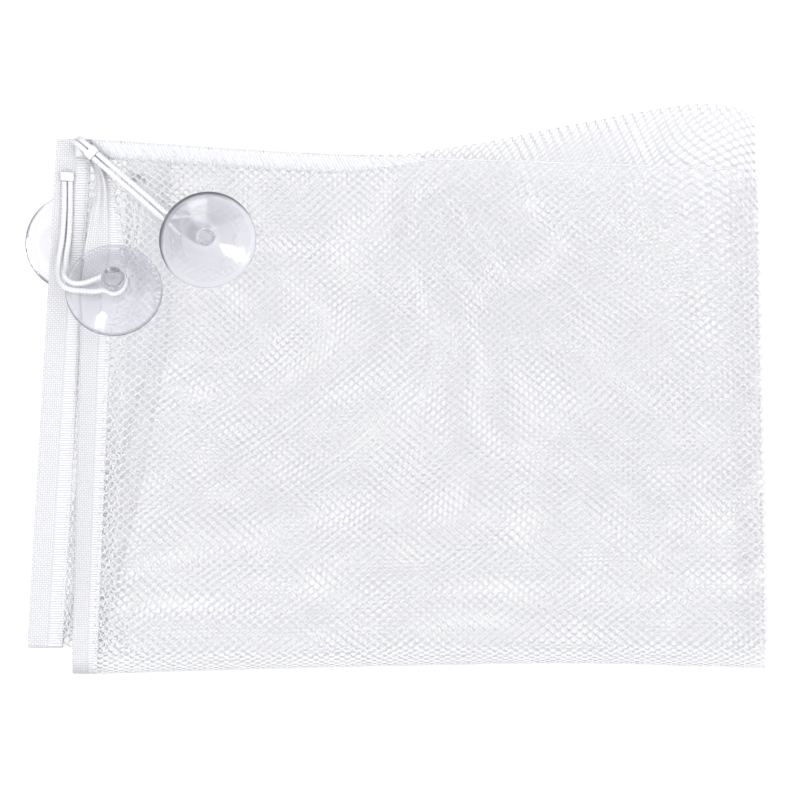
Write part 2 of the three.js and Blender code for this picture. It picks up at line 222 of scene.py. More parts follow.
def make_piece(
    name: str,
    points: Array,
    faces: Faces,
    material: bpy.types.Material,
    uv: Array | None = None,
    attributes: dict[str, Array] | None = None,
) -> bpy.types.Object:
    """Makes a smooth mesh object at the origin.

    Args:
        name: Name of the piece.
        points: Points in millimetres, as rows.
        faces: Arrays of corner indices, one array for each number of corners.
        material: Finish of the piece.
        uv: Cloth coordinates of each point, if the finish reads them.
        attributes: Values of each point that the finish reads, by name.

    Returns:
        The new object, linked to the scene.
    """
    mesh = bpy.data.meshes.new(name)
    mesh.vertices.add(len(points))
    mesh.vertices.foreach_set("co", (points * MM).astype(np.float32).ravel())
    corners = np.concatenate([part.ravel() for part in faces]).astype(np.int32)
    sizes = np.concatenate([np.full(len(part), part.shape[1]) for part in faces])
    starts = np.concatenate([[0], np.cumsum(sizes)[:-1]]).astype(np.int32)
    mesh.loops.add(len(corners))
    mesh.loops.foreach_set("vertex_index", corners)
    mesh.polygons.add(len(starts))
    mesh.polygons.foreach_set("loop_start", starts)
    mesh.update(calc_edges=True)
    mesh.shade_smooth()
    if uv is not None:
        mesh.uv_layers.new(name="cloth").uv.foreach_set("vector", uv[corners].astype(np.float32).ravel())
    for key, values in (attributes or {}).items():
        mesh.attributes.new(key, "FLOAT", "POINT").data.foreach_set("value", values.astype(np.float32).ravel())
    mesh.materials.append(material)
    piece = bpy.data.objects.new(name, mesh)
    bpy.context.scene.collection.objects.link(piece)
    log.info("%s: %d points, %d faces", name, len(points), len(starts))
    return piece


def attach(piece: bpy.types.Object, slot: str, body: str, *nodes: str) -> None:
    """Puts a piece on its body, in place of the solids that it stands for.

    Args:
        piece: The piece.
        slot: Not used.
        body: Name of the body that it rides on.
        *nodes: Names of the solids.
    """
    if nodes:
        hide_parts(*nodes)
    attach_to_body(piece, body)


# Plan of the folded bag


@dataclass(frozen=True)
class Fold:
    """Where the halves lie: the fold's axis runs along x, and the upper half leans on the third cup.

    Attributes:
        y: Where the axis is along y.
        z: Height of the axis.
        prop_sine: Sine of the upper half's lean: the prop's rise over its distance from the axis.
    """

    y: float = -122.4
    z: float = 9.4
    prop_sine: float = 10.4 / 191.4

    @property
    def prop_angle(self) -> float:
        """Angle between the upper half and the floor, in radians."""
        return math.asin(self.prop_sine)

    def turned(self, d: Array, h: Array) -> tuple[Array, Array]:
        """Turns distances in the upper half into distances along y and z."""
        sine, cosine = self.prop_sine, math.cos(self.prop_angle)
        return d * cosine - h * sine, d * sine + h * cosine

    def place(self, half: Half, x: Array, d: Array, h: Array) -> Array:
        """Points of the object's frame for places on a half.

        Args:
            half: The half that the places are on.
            x: Distances along the fold.
            d: Distances away from the fold.
            h: Distances away from the fold's middle plane, outwards.

        Returns:
            Points with x, y and z in the last axis.
        """
        x, d, h = np.broadcast_arrays(x, d, h)
        along, rise = self.turned(d, h) if half is Half.UPPER else (d, -h)
        return np.stack([x, self.y + along, self.z + rise], axis=-1)

    def crease(self, x: Array, share: Array, fold_d: float, reach: float | Array) -> Array:
        """Points of a layer where it turns round the fold: a half circle from its lower edge to its upper one.

        Args:
            x: Distances along the fold.
            share: Shares of the way round, 0 at the lower half and 1 at the upper one.
            fold_d: How far inside the fold the layer turns.
            reach: The layer's distance from the fold's middle plane.

        Returns:
            Points with x, y and z in the last axis.
        """
        x, share, reach = np.broadcast_arrays(x, share, reach)
        lower = (np.full_like(reach, fold_d), -reach)
        upper = self.turned(lower[0], reach)
        middle = [(first + last) / 2 for first, last in zip(lower, upper)]
        spoke = [(first - last) / 2 for first, last in zip(lower, upper)]
        cosine, sine = np.cos(math.pi * share), np.sin(math.pi * share)
        y = middle[0] + spoke[0] * cosine + spoke[1] * sine
        z = middle[1] + spoke[1] * cosine - spoke[0] * sine
        return np.stack([x, self.y + y, self.z + z], axis=-1)


@dataclass(frozen=True)
class Edge:
    """A line in the plan of a half: straight runs between places, with each bend eased.

    Attributes:
        at: Places along the line's main direction, rising.
        to: The line's distance at each place.
        ease: How far before and after a bend the line curves.
    """

    at: tuple[float, ...]
    to: tuple[float, ...]
    ease: float = 12.0

    def __call__(self, place: Array) -> Array:
        """The line's distance: the runs carried on past their ends, averaged over the ease around each place."""
        at, to = np.array(self.at), np.array(self.to)
        far = 100.0
        first = to[0] - far * (to[1] - to[0]) / (at[1] - at[0])
        last = to[-1] + far * (to[-1] - to[-2]) / (at[-1] - at[-2])
        at, to = np.concatenate([[at[0] - far], at, [at[-1] + far]]), np.concatenate([[first], to, [last]])
        return np.mean([np.interp(place + shift, at, to) for shift in np.linspace(-self.ease, self.ease, 9)], axis=0)


@dataclass(frozen=True)
class Ripple:
    """Soft unevenness of cloth: a few slanting sine waves added up.

    Attributes:
        height: Largest height of the waves together.
        length: Middle wave length.
        seed: Which waves.
    """

    height: float
    length: float
    seed: int

    def __call__(self, x: Array, d: Array) -> Array:
        """Height of the waves at places of the plan."""
        picks = np.random.default_rng(self.seed)
        count = 5
        angle = picks.uniform(0, math.pi, count)
        pitch = self.length * picks.uniform(0.7, 1.5, count)
        phase = picks.uniform(0, 2 * math.pi, count)
        waves = [
            np.sin((x * np.cos(angle[i]) + d * np.sin(angle[i])) * 2 * math.pi / pitch[i] + phase[i])
            for i in range(count)
        ]
        return self.height * np.sum(waves, axis=0) / count


FOLD = Fold()
CLOSED_END = Edge((0.0, 240.0), (172.6, 167.8))
SIDE_SEAM = Edge((-150.0, -45.0, 7.0, 168.0), (240.0, 233.0, 231.3, 226.0), ease=30.0)
FOLD_BOW = Edge((-150.0, -45.0, 80.0, 172.0), (0.0, 3.0, 5.6, 3.0), ease=30.0)
LOOSE_SIDE = Edge(
    (-150.0, 7.0, 22.0, 44.0, 71.0, 97.5, 123.0, 141.5, 155.0, 164.0, 169.0),
    (231.0, 232.5, 235.2, 238.6, 244.2, 249.3, 254.0, 256.2, 255.6, 252.5, 247.5),
    ease=5.0,
)
CUP_REST = ((-88.0, 195.0), (-130.0, 172.0))  # x and d where two cups lie on the upper half, and the net is level


def bend_with_fold(piece: bpy.types.Object) -> None:
    """Bakes a piece's place into its mesh points."""
    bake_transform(piece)


def beyond(distance: Array) -> Array:
    """0 short of a line and 1 beyond it, eased over ten millimetres, by signed distance from the line."""
    return smoothstep(-6.0, 4.0, distance)


# Finishes


class Graph:
    """Adds nodes to a shader tree and joins their sockets."""

    def __init__(self, tree: bpy.types.NodeTree) -> None:
        """Starts on an empty tree."""
        self.tree = tree
        tree.nodes.clear()

    def node(self, kind: str, inputs: dict | None = None, **settings: object) -> bpy.types.Node:
        """Adds a node.

        Args:
            kind: Blender's name of the node type.
            inputs: Values, or sockets of other nodes, by the input's name or number.
            **settings: Properties of the node.

        Returns:
            The new node.
        """
        made = self.tree.nodes.new(kind)
        for key, value in settings.items():
            setattr(made, key, value)
        for key, value in (inputs or {}).items():
            if isinstance(value, bpy.types.NodeSocket):
                self.tree.links.new(value, made.inputs[key])
            else:
                made.inputs[key].default_value = value
        return made

    def math(self, operation: str, first: object, second: object = 0.0) -> bpy.types.NodeSocket:
        """Adds a Math node and returns its result."""
        return self.node("ShaderNodeMath", {0: first, 1: second}, operation=operation).outputs[0]

    def ranged(
        self, value: bpy.types.NodeSocket, low: float, high: float, first: object, last: float
    ) -> bpy.types.NodeSocket:
        """A value carried from the range low to high into the range first to last, and kept in it."""
        return self.node("ShaderNodeMapRange", {0: value, 1: low, 2: high, 3: first, 4: last}).outputs[0]

    def attribute(self, name: str) -> bpy.types.NodeSocket:
        """The piece's own attribute of that name."""
        return self.node("ShaderNodeAttribute", attribute_name=name).outputs["Fac"]

    def mixed(self, share: bpy.types.NodeSocket, first: object, second: Color) -> bpy.types.NodeSocket:
        """A colour that goes over into a second one as the share rises."""
        return self.node("ShaderNodeMix", {0: share, 6: first, 7: (*second, 1.0)}, data_type="RGBA").outputs[2]

    def scaled(self, color: Color, factor: bpy.types.NodeSocket) -> bpy.types.NodeSocket:
        """A colour times a factor that changes over the surface."""
        mix = self.node(
            "ShaderNodeMix", {0: 1.0, 6: (*color, 1.0), 7: factor}, data_type="RGBA", blend_type="MULTIPLY"
        )
        return mix.outputs[2]


def empty_material(name: str) -> tuple[bpy.types.Material, Graph]:
    """A new material with an empty tree, and the graph that fills it."""
    material = bpy.data.materials.new(name)
    material.use_nodes = True
    return material, Graph(material.node_tree)


def node_group(name: str, inputs: Sequence[tuple[str, str, float]], outputs: Sequence[str]) -> Graph:
    """Makes a shader node group.

    Args:
        name: Name of the group.
        inputs: Name, socket type and first value of each input.
        outputs: Names of the outputs, all numbers.

    Returns:
        The group's tree, with its input and output nodes named "In" and "Out".
    """
    tree = bpy.data.node_groups.new(name, "ShaderNodeTree")
    graph = Graph(tree)
    for label, kind, value in inputs:
        socket = tree.interface.new_socket(label, in_out="INPUT", socket_type=kind)
        if kind == "NodeSocketFloat":
            socket.default_value = value
    for label in outputs:
        tree.interface.new_socket(label, in_out="OUTPUT", socket_type="NodeSocketFloat")
    graph.node("NodeGroupInput", name="In")
    graph.node("NodeGroupOutput", name="Out")
    return graph


def fibre_group() -> bpy.types.NodeTree:
    """The uneven whiteness of spun fibre: fine noise as a shade from 1 - Depth to 1, and as a height."""
    name = "fibre"
    if name in bpy.data.node_groups:
        return bpy.data.node_groups[name]
    graph = node_group(
        name, [("Scale", "NodeSocketFloat", 900.0), ("Depth", "NodeSocketFloat", 0.1)], ["Shade", "Height"]
    )
    given, out = graph.tree.nodes["In"], graph.tree.nodes["Out"]
    place = graph.node("ShaderNodeTexCoord").outputs["Object"]
    noise = graph.node("ShaderNodeTexNoise", {"Vector": place, "Scale": given.outputs["Scale"], "Detail": 3.0})
    low = graph.math("SUBTRACT", 1.0, given.outputs["Depth"])
    graph.tree.links.new(graph.ranged(noise.outputs[0], 0.3, 0.7, low, 1.0), out.inputs["Shade"])
    graph.tree.links.new(noise.outputs[0], out.inputs["Height"])
    return graph.tree


def weave_group() -> bpy.types.NodeTree:
    """A plain weave with a ladder selvage, read from cloth coordinates in millimetres.

    Over the plain part, the yarns lie on top in turn, like a checkerboard: the product of a sine across and a sine
    along, whose low fields are half as high. Past the ladder's start it is rungs: a sine along only, with a groove
    where the two parts meet. Its Shade is painted shade, darker on low yarns, in the groove and over the ladder.
    """
    name = "weave"
    if name in bpy.data.node_groups:
        return bpy.data.node_groups[name]
    graph = node_group(
        name,
        [
            ("Yarn", "NodeSocketFloat", 1.0),
            ("Rung", "NodeSocketFloat", 1.15),
            ("Ladder", "NodeSocketFloat", 9.5),
            ("Depth", "NodeSocketFloat", 0.36),
        ],
        ["Shade", "Height"],
    )
    given, out = graph.tree.nodes["In"], graph.tree.nodes["Out"]
    cloth = graph.node("ShaderNodeUVMap", uv_map="cloth").outputs[0]
    split = graph.node("ShaderNodeSeparateXYZ", {0: cloth})
    across, along = split.outputs[0], split.outputs[1]

    def wave(distance: bpy.types.NodeSocket, pitch: bpy.types.NodeSocket) -> bpy.types.NodeSocket:
        """A sine of the distance, one pitch to each half wave."""
        return graph.math("SINE", graph.math("MULTIPLY", graph.math("DIVIDE", distance, pitch), math.pi))

    yarn, rung = given.outputs["Yarn"], given.outputs["Rung"]
    checks = graph.math("MULTIPLY", wave(across, yarn), wave(along, yarn))
    low_checks = graph.math("MULTIPLY", checks, -0.5)
    crossings = graph.math("POWER", graph.math("MAXIMUM", checks, low_checks), 0.6)
    rungs = graph.math("POWER", graph.math("ABSOLUTE", wave(along, rung)), 0.7)
    past = graph.math("SUBTRACT", across, given.outputs["Ladder"])
    ladder = graph.ranged(past, -0.4, 0.4, 0.0, 1.0)
    both = graph.node("ShaderNodeMix", {0: ladder, 2: crossings, 3: rungs}, data_type="FLOAT").outputs[0]
    groove = graph.ranged(graph.math("ABSOLUTE", past), 0.1, 0.7, 0.4, 1.0)
    height = graph.math("MULTIPLY", both, groove)
    low = graph.math("SUBTRACT", 1.0, given.outputs["Depth"])
    shade = graph.ranged(height, 0.0, 1.0, low, 1.0)
    # Painted shade: the ladder part is a twentieth darker.
    ladder_shade = graph.ranged(ladder, 0.0, 1.0, 1.0, 0.95)
    graph.tree.links.new(graph.math("MULTIPLY", shade, ladder_shade), out.inputs["Shade"])
    graph.tree.links.new(height, out.inputs["Height"])
    return graph.tree


@dataclass(frozen=True)
class ClothFinish:
    """White thread or cloth, with the uneven whiteness of fibre.

    Attributes:
        name: Name of the material.
        color: Colour of the clean fibre.
        roughness: How dull it is.
        grain: Scale of the fibre's noise.
        depth: How dark the noise gets.
        sheen: How fuzzy its edge looks.
        relief: How dark the painted shade in the valleys of a modelled relief gets, 0 where there is none.
        woven: Whether it has a weave.
        through: Share of the light that passes through it.
        second: Colour where the piece's attribute of that name is 1, if it has a second colour: painted shade on the
            net, painted light on the tapes and cord of the lower half.
        second_through: Share of the light that passes through it there.
    """

    name: str
    color: Color
    roughness: float
    grain: float = 900.0
    depth: float = 0.1
    sheen: float = 0.0
    relief: float = 0.0
    woven: bool = False
    through: float = 0.0
    second: Color | None = None
    second_through: float = 0.0

    def material(self) -> bpy.types.Material:
        """Makes the material, or returns it if it is made already."""
        if self.name in bpy.data.materials:
            return bpy.data.materials[self.name]
        material, graph = empty_material(self.name)
        fibre = graph.node("ShaderNodeGroup", node_tree=fibre_group())
        fibre.inputs["Scale"].default_value = self.grain
        fibre.inputs["Depth"].default_value = self.depth
        shade, height = fibre.outputs["Shade"], fibre.outputs["Height"]
        bump = graph.node("ShaderNodeBump", {"Height": height, "Strength": 0.25, "Distance": 0.0001})
        normal = bump.outputs[0]
        if self.woven:
            weave = graph.node("ShaderNodeGroup", node_tree=weave_group())
            # The weave's painted shade darkens the low yarns.
            shade = graph.math("MULTIPLY", shade, weave.outputs["Shade"])
            over = graph.node(
                "ShaderNodeBump",
                {"Height": weave.outputs["Height"], "Normal": normal, "Strength": 0.8, "Distance": 0.0003},
            )
            normal = over.outputs[0]
        # Painted shade in the valleys of the modelled relief.
        if self.relief:
            dark = graph.ranged(graph.attribute("relief"), 0.0, 1.0, 1.0 - self.relief, 1.0)
            shade = graph.math("MULTIPLY", shade, dark)
        color = graph.scaled(self.color, shade)
        # The second colour is painted shade on the net and painted light on the tapes and cord of the lower half.
        if self.second:
            place = graph.attribute("second")
            color = graph.mixed(place, color, self.second)
        surface = graph.node(
            "ShaderNodeBsdfPrincipled",
            {"Base Color": color, "Roughness": self.roughness, "Normal": normal, "Sheen Weight": self.sheen},
        )
        if self.through:
            share = self.through
            if self.second:
                share = graph.ranged(place, 0.0, 1.0, share, self.second_through)
            back = graph.node("ShaderNodeBsdfTranslucent", {"Color": color, "Normal": normal})
            surface = graph.node("ShaderNodeMixShader", {0: share, 1: surface.outputs[0], 2: back.outputs[0]})
        graph.node("ShaderNodeOutputMaterial", {"Surface": surface.outputs[0]})
        return material


@dataclass(frozen=True)
class ClearFinish:
    """Clear soft plastic that looks dark at its edges through painted shade, with moulding flow lines and a pale
    shadow.

    Attributes:
        name: Name of the material.
        color: Tint of the plastic.
        edge: Tint of the painted shade where the piece's edge attribute is 1.
        roughness: How hazy it is where it is smooth.
        haze: How hazy it is where the piece's haze attribute is 1.
        shadow: Tint of the light that passes through to what lies under it.
    """

    name: str
    color: Color
    edge: Color
    roughness: float
    haze: float
    shadow: Color

    def material(self) -> bpy.types.Material:
        """Makes the material, or returns it if it is made already."""
        if self.name in bpy.data.materials:
            return bpy.data.materials[self.name]
        material, graph = empty_material(self.name)
        place = graph.node("ShaderNodeTexCoord").outputs["Object"]
        flow = graph.node("ShaderNodeTexNoise", {"Vector": place, "Scale": 160.0, "Detail": 2.0})
        bump = graph.node("ShaderNodeBump", {"Height": flow.outputs[0], "Strength": 0.12, "Distance": 0.0004})
        # Painted shade: the plastic turns dark where the edge attribute is 1.
        tint = graph.mixed(graph.attribute("edge"), (*self.color, 1.0), self.edge)
        haze = graph.ranged(graph.attribute("haze"), 0.0, 1.0, self.roughness, self.haze)
        surface = graph.node(
            "ShaderNodeBsdfPrincipled",
            {
                "Base Color": tint,
                "Roughness": haze,
                "IOR": 1.5,
                "Transmission Weight": 1.0,
                "Normal": bump.outputs[0],
            },
        )
        through = graph.node("ShaderNodeBsdfTransparent", {"Color": (*self.shadow, 1.0)})
        ray = graph.node("ShaderNodeLightPath").outputs["Is Shadow Ray"]
        both = graph.node("ShaderNodeMixShader", {0: ray, 1: surface.outputs[0], 2: through.outputs[0]})
        graph.node("ShaderNodeOutputMaterial", {"Surface": both.outputs[0]})
        return material


@dataclass(frozen=True)
class FloorFinish:
    """A pale floor that glows, as a table does that is lit from below.

    Attributes:
        name: Name of the material.
        color: Colour of the floor in the studio's light.
        glow: How bright it glows by itself.
    """

    name: str
    color: Color
    glow: float

    def material(self) -> bpy.types.Material:
        """Makes the material."""
        material, graph = empty_material(self.name)
        surface = graph.node(
            "ShaderNodeBsdfPrincipled",
            {
                "Base Color": (*self.color, 1.0),
                "Roughness": 0.9,
                "Specular IOR Level": 0.0,
                "Emission Color": (1.0, 1.0, 1.0, 1.0),
                "Emission Strength": self.glow,
            },
        )
        graph.node("ShaderNodeOutputMaterial", {"Surface": surface.outputs[0]})
        return material


# The net's second colour is painted shade: a darker net along the loose side, and over half of the inner panel.
NET_FINISH = ClothFinish(
    "net_thread",
    color=(0.97, 0.97, 0.98),
    roughness=0.5,
    grain=500.0,
    depth=0.04,
    sheen=0.1,
    through=0.3,
    second=(0.81, 0.81, 0.84),
    second_through=0.1,
)
# The tape's second colour is painted light: a whiter lower half that lifts the shade under the upper half.
TAPE_FINISH = ClothFinish(
    "hem_tape",
    color=(0.765, 0.765, 0.785),
    roughness=0.8,
    grain=1200.0,
    depth=0.08,
    sheen=0.2,
    woven=True,
    through=0.15,
    second=(0.97, 0.97, 0.98),
    second_through=0.8,
)
SEAM_FINISH = ClothFinish(
    "sewing_thread", color=(0.77, 0.77, 0.79), roughness=0.6, grain=1500.0, depth=0.1, sheen=0.2, through=0.2
)
# The cord's second colour is painted light for the cord on the lower half, which lies in shade.
CORD_FINISH = ClothFinish(
    "cord_braid",
    color=(0.7, 0.7, 0.72),
    roughness=0.65,
    grain=1800.0,
    depth=0.08,
    sheen=0.2,
    relief=0.45,
    second=(0.97, 0.97, 0.98),
)
# edge tints the painted shade along the cups' rims and round their knobs.
CUP_FINISH = ClearFinish(
    "cup_clear",
    color=(0.84, 0.84, 0.87),
    edge=(0.1, 0.1, 0.14),
    roughness=0.1,
    haze=0.36,
    shadow=(0.9, 0.9, 0.92),
)
FLOOR_FINISH = FloorFinish("floor", color=(0.2, 0.2, 0.2), glow=0.8)


# Net


@dataclass(frozen=True)
class NetPanel:
    """One panel of diamond net, from its lower edge round the fold to its upper edge.

    Its strands run along the bag and zigzag, so that each one touches the next strand on one side and then the
    next on the other, side by side for a short way.

    Attributes:
        layer: Which panel it is.
        reach: Distance from the fold's middle plane.
        fold_d: How far inside the fold it turns.
        hems: Where its hem is sewn on, for each half.
        seed: Which unevenness it has.
        cells: Cells along the bag.
        strand: Distance between neighbouring strands.
        thread: Radius of the thread.
        knot: Share of a cell for which neighbouring strands run together.
        tuck: How far it goes under the hem tape.
        half_rows: Strands on each half.
        shared: Strands of each half that belong to the strip round the fold.
        nest: How far it lies nearer to the outer panel's fold away from the hem.
        middle: Distance from the fold's middle plane where the two panels meet.
        loose_hem: Where both panels' strands start along the loose side.
        shade: Share of the painted shade, the net's darker second colour, over the whole panel.
        stray: How far its strands stray sideways.
        pull: How far the cells under the loose side are drawn away from the closed end, as a share of the way.
        end_round: Radius of its turn at the closed end.
        side_round: Radius of its turn at the loose side.
    """

    layer: Layer
    reach: float
    fold_d: float
    hems: dict[Half, Edge]
    seed: int
    cells: int = 64
    strand: float = 1.92
    thread: float = 0.27
    knot: float = 0.3
    tuck: float = 2.0
    half_rows: int = 120
    shared: int = 2
    nest: float = 0.0
    middle: float = 5.0
    loose_hem: float = -109.0
    shade: float = 0.0
    stray: float = 3.2
    pull: float = 0.075
    end_round: float = 8.0
    side_round: float = 7.0

    def lattice(self, rows: int, first_row: int) -> tuple[Array, Array]:
        """Shares along the bag, and row numbers with the zigzag, of every strand's points.

        Each cell has four points: two where the strand runs with the one above it and two where it runs with the
        one below. Odd strands swap the two.

        Args:
            rows: Number of strands.
            first_row: Number of the first strand, counted from the panel's lower edge.

        Returns:
            Shares along the bag for each step, and row numbers for each strand and step.
        """
        phase, side = zigzag(self.cells, self.knot)
        apart = 1.7 * self.thread / self.strand
        number = first_row + np.arange(rows)
        swing = np.where(number % 2 == 0, 0.5, -0.5)[:, None] * side * (1.0 - apart)
        return phase / self.cells, np.arange(rows)[:, None] + 0.5 + swing

    def half_lines(self, half: Half) -> Array:
        """Strands of a half, from the fold to its side edge.

        A place is a share of the way from hem to closed end and a share of the way from fold to side edge. The
        two edges depend on each other a little, so the place is worked out three times from a first guess.

        Args:
            half: The half to cover.

        Returns:
            Points by strand and step.
        """
        first = -self.half_rows if half is Half.LOWER else self.crease_rows()
        share, row = self.lattice(self.half_rows, first)
        if half is Half.LOWER:
            row = (self.half_rows - row)[::-1]
        up = row / self.half_rows
        side_edge = SIDE_SEAM if half is Half.UPPER else LOOSE_SIDE
        share = self.pulled(half, np.broadcast_to(share, up.shape), up)
        guess = 230.0
        d = self.fold_d + up * guess
        for _ in range(3):
            hem = self.hems[half](d) - self.tuck
            if half is Half.LOWER:
                hem = hem + (self.loose_hem - hem) * smoothstep(0.78, 0.9, up)
            x = hem + share * (CLOSED_END(d) - hem)
            d = self.fold_d + up * (side_edge(x) - self.fold_d)
        still = np.clip(12 * share * (1 - share) * 4 * up * (1 - up), 0, 1)
        x = x + still * Ripple(self.stray, length=120.0, seed=self.seed + 1)(x, d)
        strayed = d + still * Ripple(self.stray, length=105.0, seed=self.seed + 2)(x, d)
        d = strayed + self.drawn(x) * (1.0 - smoothstep(0.0, 70.0, d))
        return FOLD.place(half, x, d, self.offset(half, x, d, still))

    def pulled(self, half: Half, share: Array, up: Array) -> Array:
        """Shares along the bag where the loose side swells: below its edge the cells are drawn away from the end."""
        if half is Half.UPPER:
            return share
        swell = np.interp(up, (0.4, 0.87, 1.0), (0.0, 1.0, 0.0))
        return share - self.pull * swell * smoothstep(0.35, 0.7, share) * (1 - smoothstep(0.88, 1.0, share))

    def offset(self, half: Half, x: Array, d: Array, still: Array) -> Array:
        """Distance from the fold's middle plane.

        The panel keeps its reach over most of the half and closes to the middle of the bag at the closed end,
        round, and at the side edge: flat to the sewn seam on the upper half, and round on the lower one.

        Args:
            half: The half that the places are on.
            x: Places along the fold.
            d: Places away from the fold.
            still: 0 at the panel's edges and 1 inside them.

        Returns:
            The distances outwards.
        """
        outer = self.layer is Layer.OUTER
        closing = rounded(CLOSED_END(d) - x, self.end_round)
        if half is Half.UPPER:
            closing = closing * (0.14 + 0.86 * smoothstep(2.0, 20.0, SIDE_SEAM(x) - d))
        else:
            closing = closing * (0.08 + 0.92 * rounded(LOOSE_SIDE(x) - d, self.side_round))
        wave = Ripple(height=1.0, length=62.0, seed=self.seed)(x, d)
        sag = 1.6 if half is Half.UPPER and outer else 0.9
        inward = still * (0.9 + wave) * sag
        for rest_x, rest_d in CUP_REST:
            inward = inward * smoothstep(18.0, 45.0, np.hypot(x - rest_x, d - rest_d))
        flat = self.reach + (-inward if outer else inward)
        return self.middle + (flat - self.middle) * closing

    def crease_rows(self) -> int:
        """Number of strands round the fold, close together and even so that the zigzag runs on."""
        return max(2, 2 * round(1.5 * math.pi * self.reach / self.strand / 2))

    def crease_lines(self) -> Array:
        """Strands round the fold."""
        rows = self.crease_rows()
        share, row = self.lattice(rows, 0)
        hem = self.hems[Half.UPPER](np.array(self.fold_d)) - self.tuck
        x = hem + share * (CLOSED_END(np.array(self.fold_d)) - hem)
        points = FOLD.crease(np.broadcast_to(x, row.shape), row / rows, self.fold_d, self.reach)
        points[..., 1] += self.drawn(points[..., 0])
        return points

    def drawn(self, x: Array) -> Array:
        """How far the fold is drawn in: it bows, and the inner panel nests in the outer one away from the hem."""
        return FOLD_BOW(x) - self.nest * smoothstep(-150.0, -112.0, x)

    def dress(
        self, name: str, lines: Array, nodes: Sequence[str], loose: Array
    ) -> bpy.types.Object:
        """Makes strands into a piece of net.

        Args:
            name: Name of the piece.
            lines: Strands, by strand and step.
            nodes: Solids that the piece stands for.
            loose: 1 for the points along the loose side, where the net gets painted shade, by strand and step.

        Returns:
            The piece, not yet on a body.
        """
        threads = Tubes(lines, self.thread, 3)
        # Painted shade: the net's darker second colour along the loose side, and the panel's share of it everywhere.
        second = np.repeat(np.maximum(loose, self.shade), threads.sides)
        piece = make_piece(name, *threads.shape(), NET_FINISH.material(), attributes={"second": second})
        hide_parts(*nodes)
        return piece

    def build(self) -> None:
        """Makes the net of both halves and the strip that bends between them, with a few strands of each half."""
        layer = self.layer.value
        strip = [self.crease_lines()]
        for half in Half:
            suffix = half.name.lower()
            nodes = [f"{layer}_net_{suffix}"]
            if half is Half.LOWER and self.layer is Layer.OUTER:
                nodes.append("side_fold_lower")
            lines = self.half_lines(half)
            strip.append(lines[: self.shared])
            lines = lines[self.shared :]
            loose = np.zeros(lines.shape[:2])
            if half is Half.LOWER:
                # Painted shade along the loose side of the lower half.
                loose = beyond(lines[..., 1] - FOLD.y - SIDE_SEAM(lines[..., 0]))
            piece = self.dress(f"{layer}_netting_{suffix}", lines, nodes, loose)
            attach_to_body(piece, half.value)
        lines = np.concatenate(strip)
        crease = self.dress(f"{layer}_netting_fold", lines, [f"{layer}_net_fold"], np.zeros(lines.shape[:2]))
        bend_with_fold(crease)


# Tapes and seams


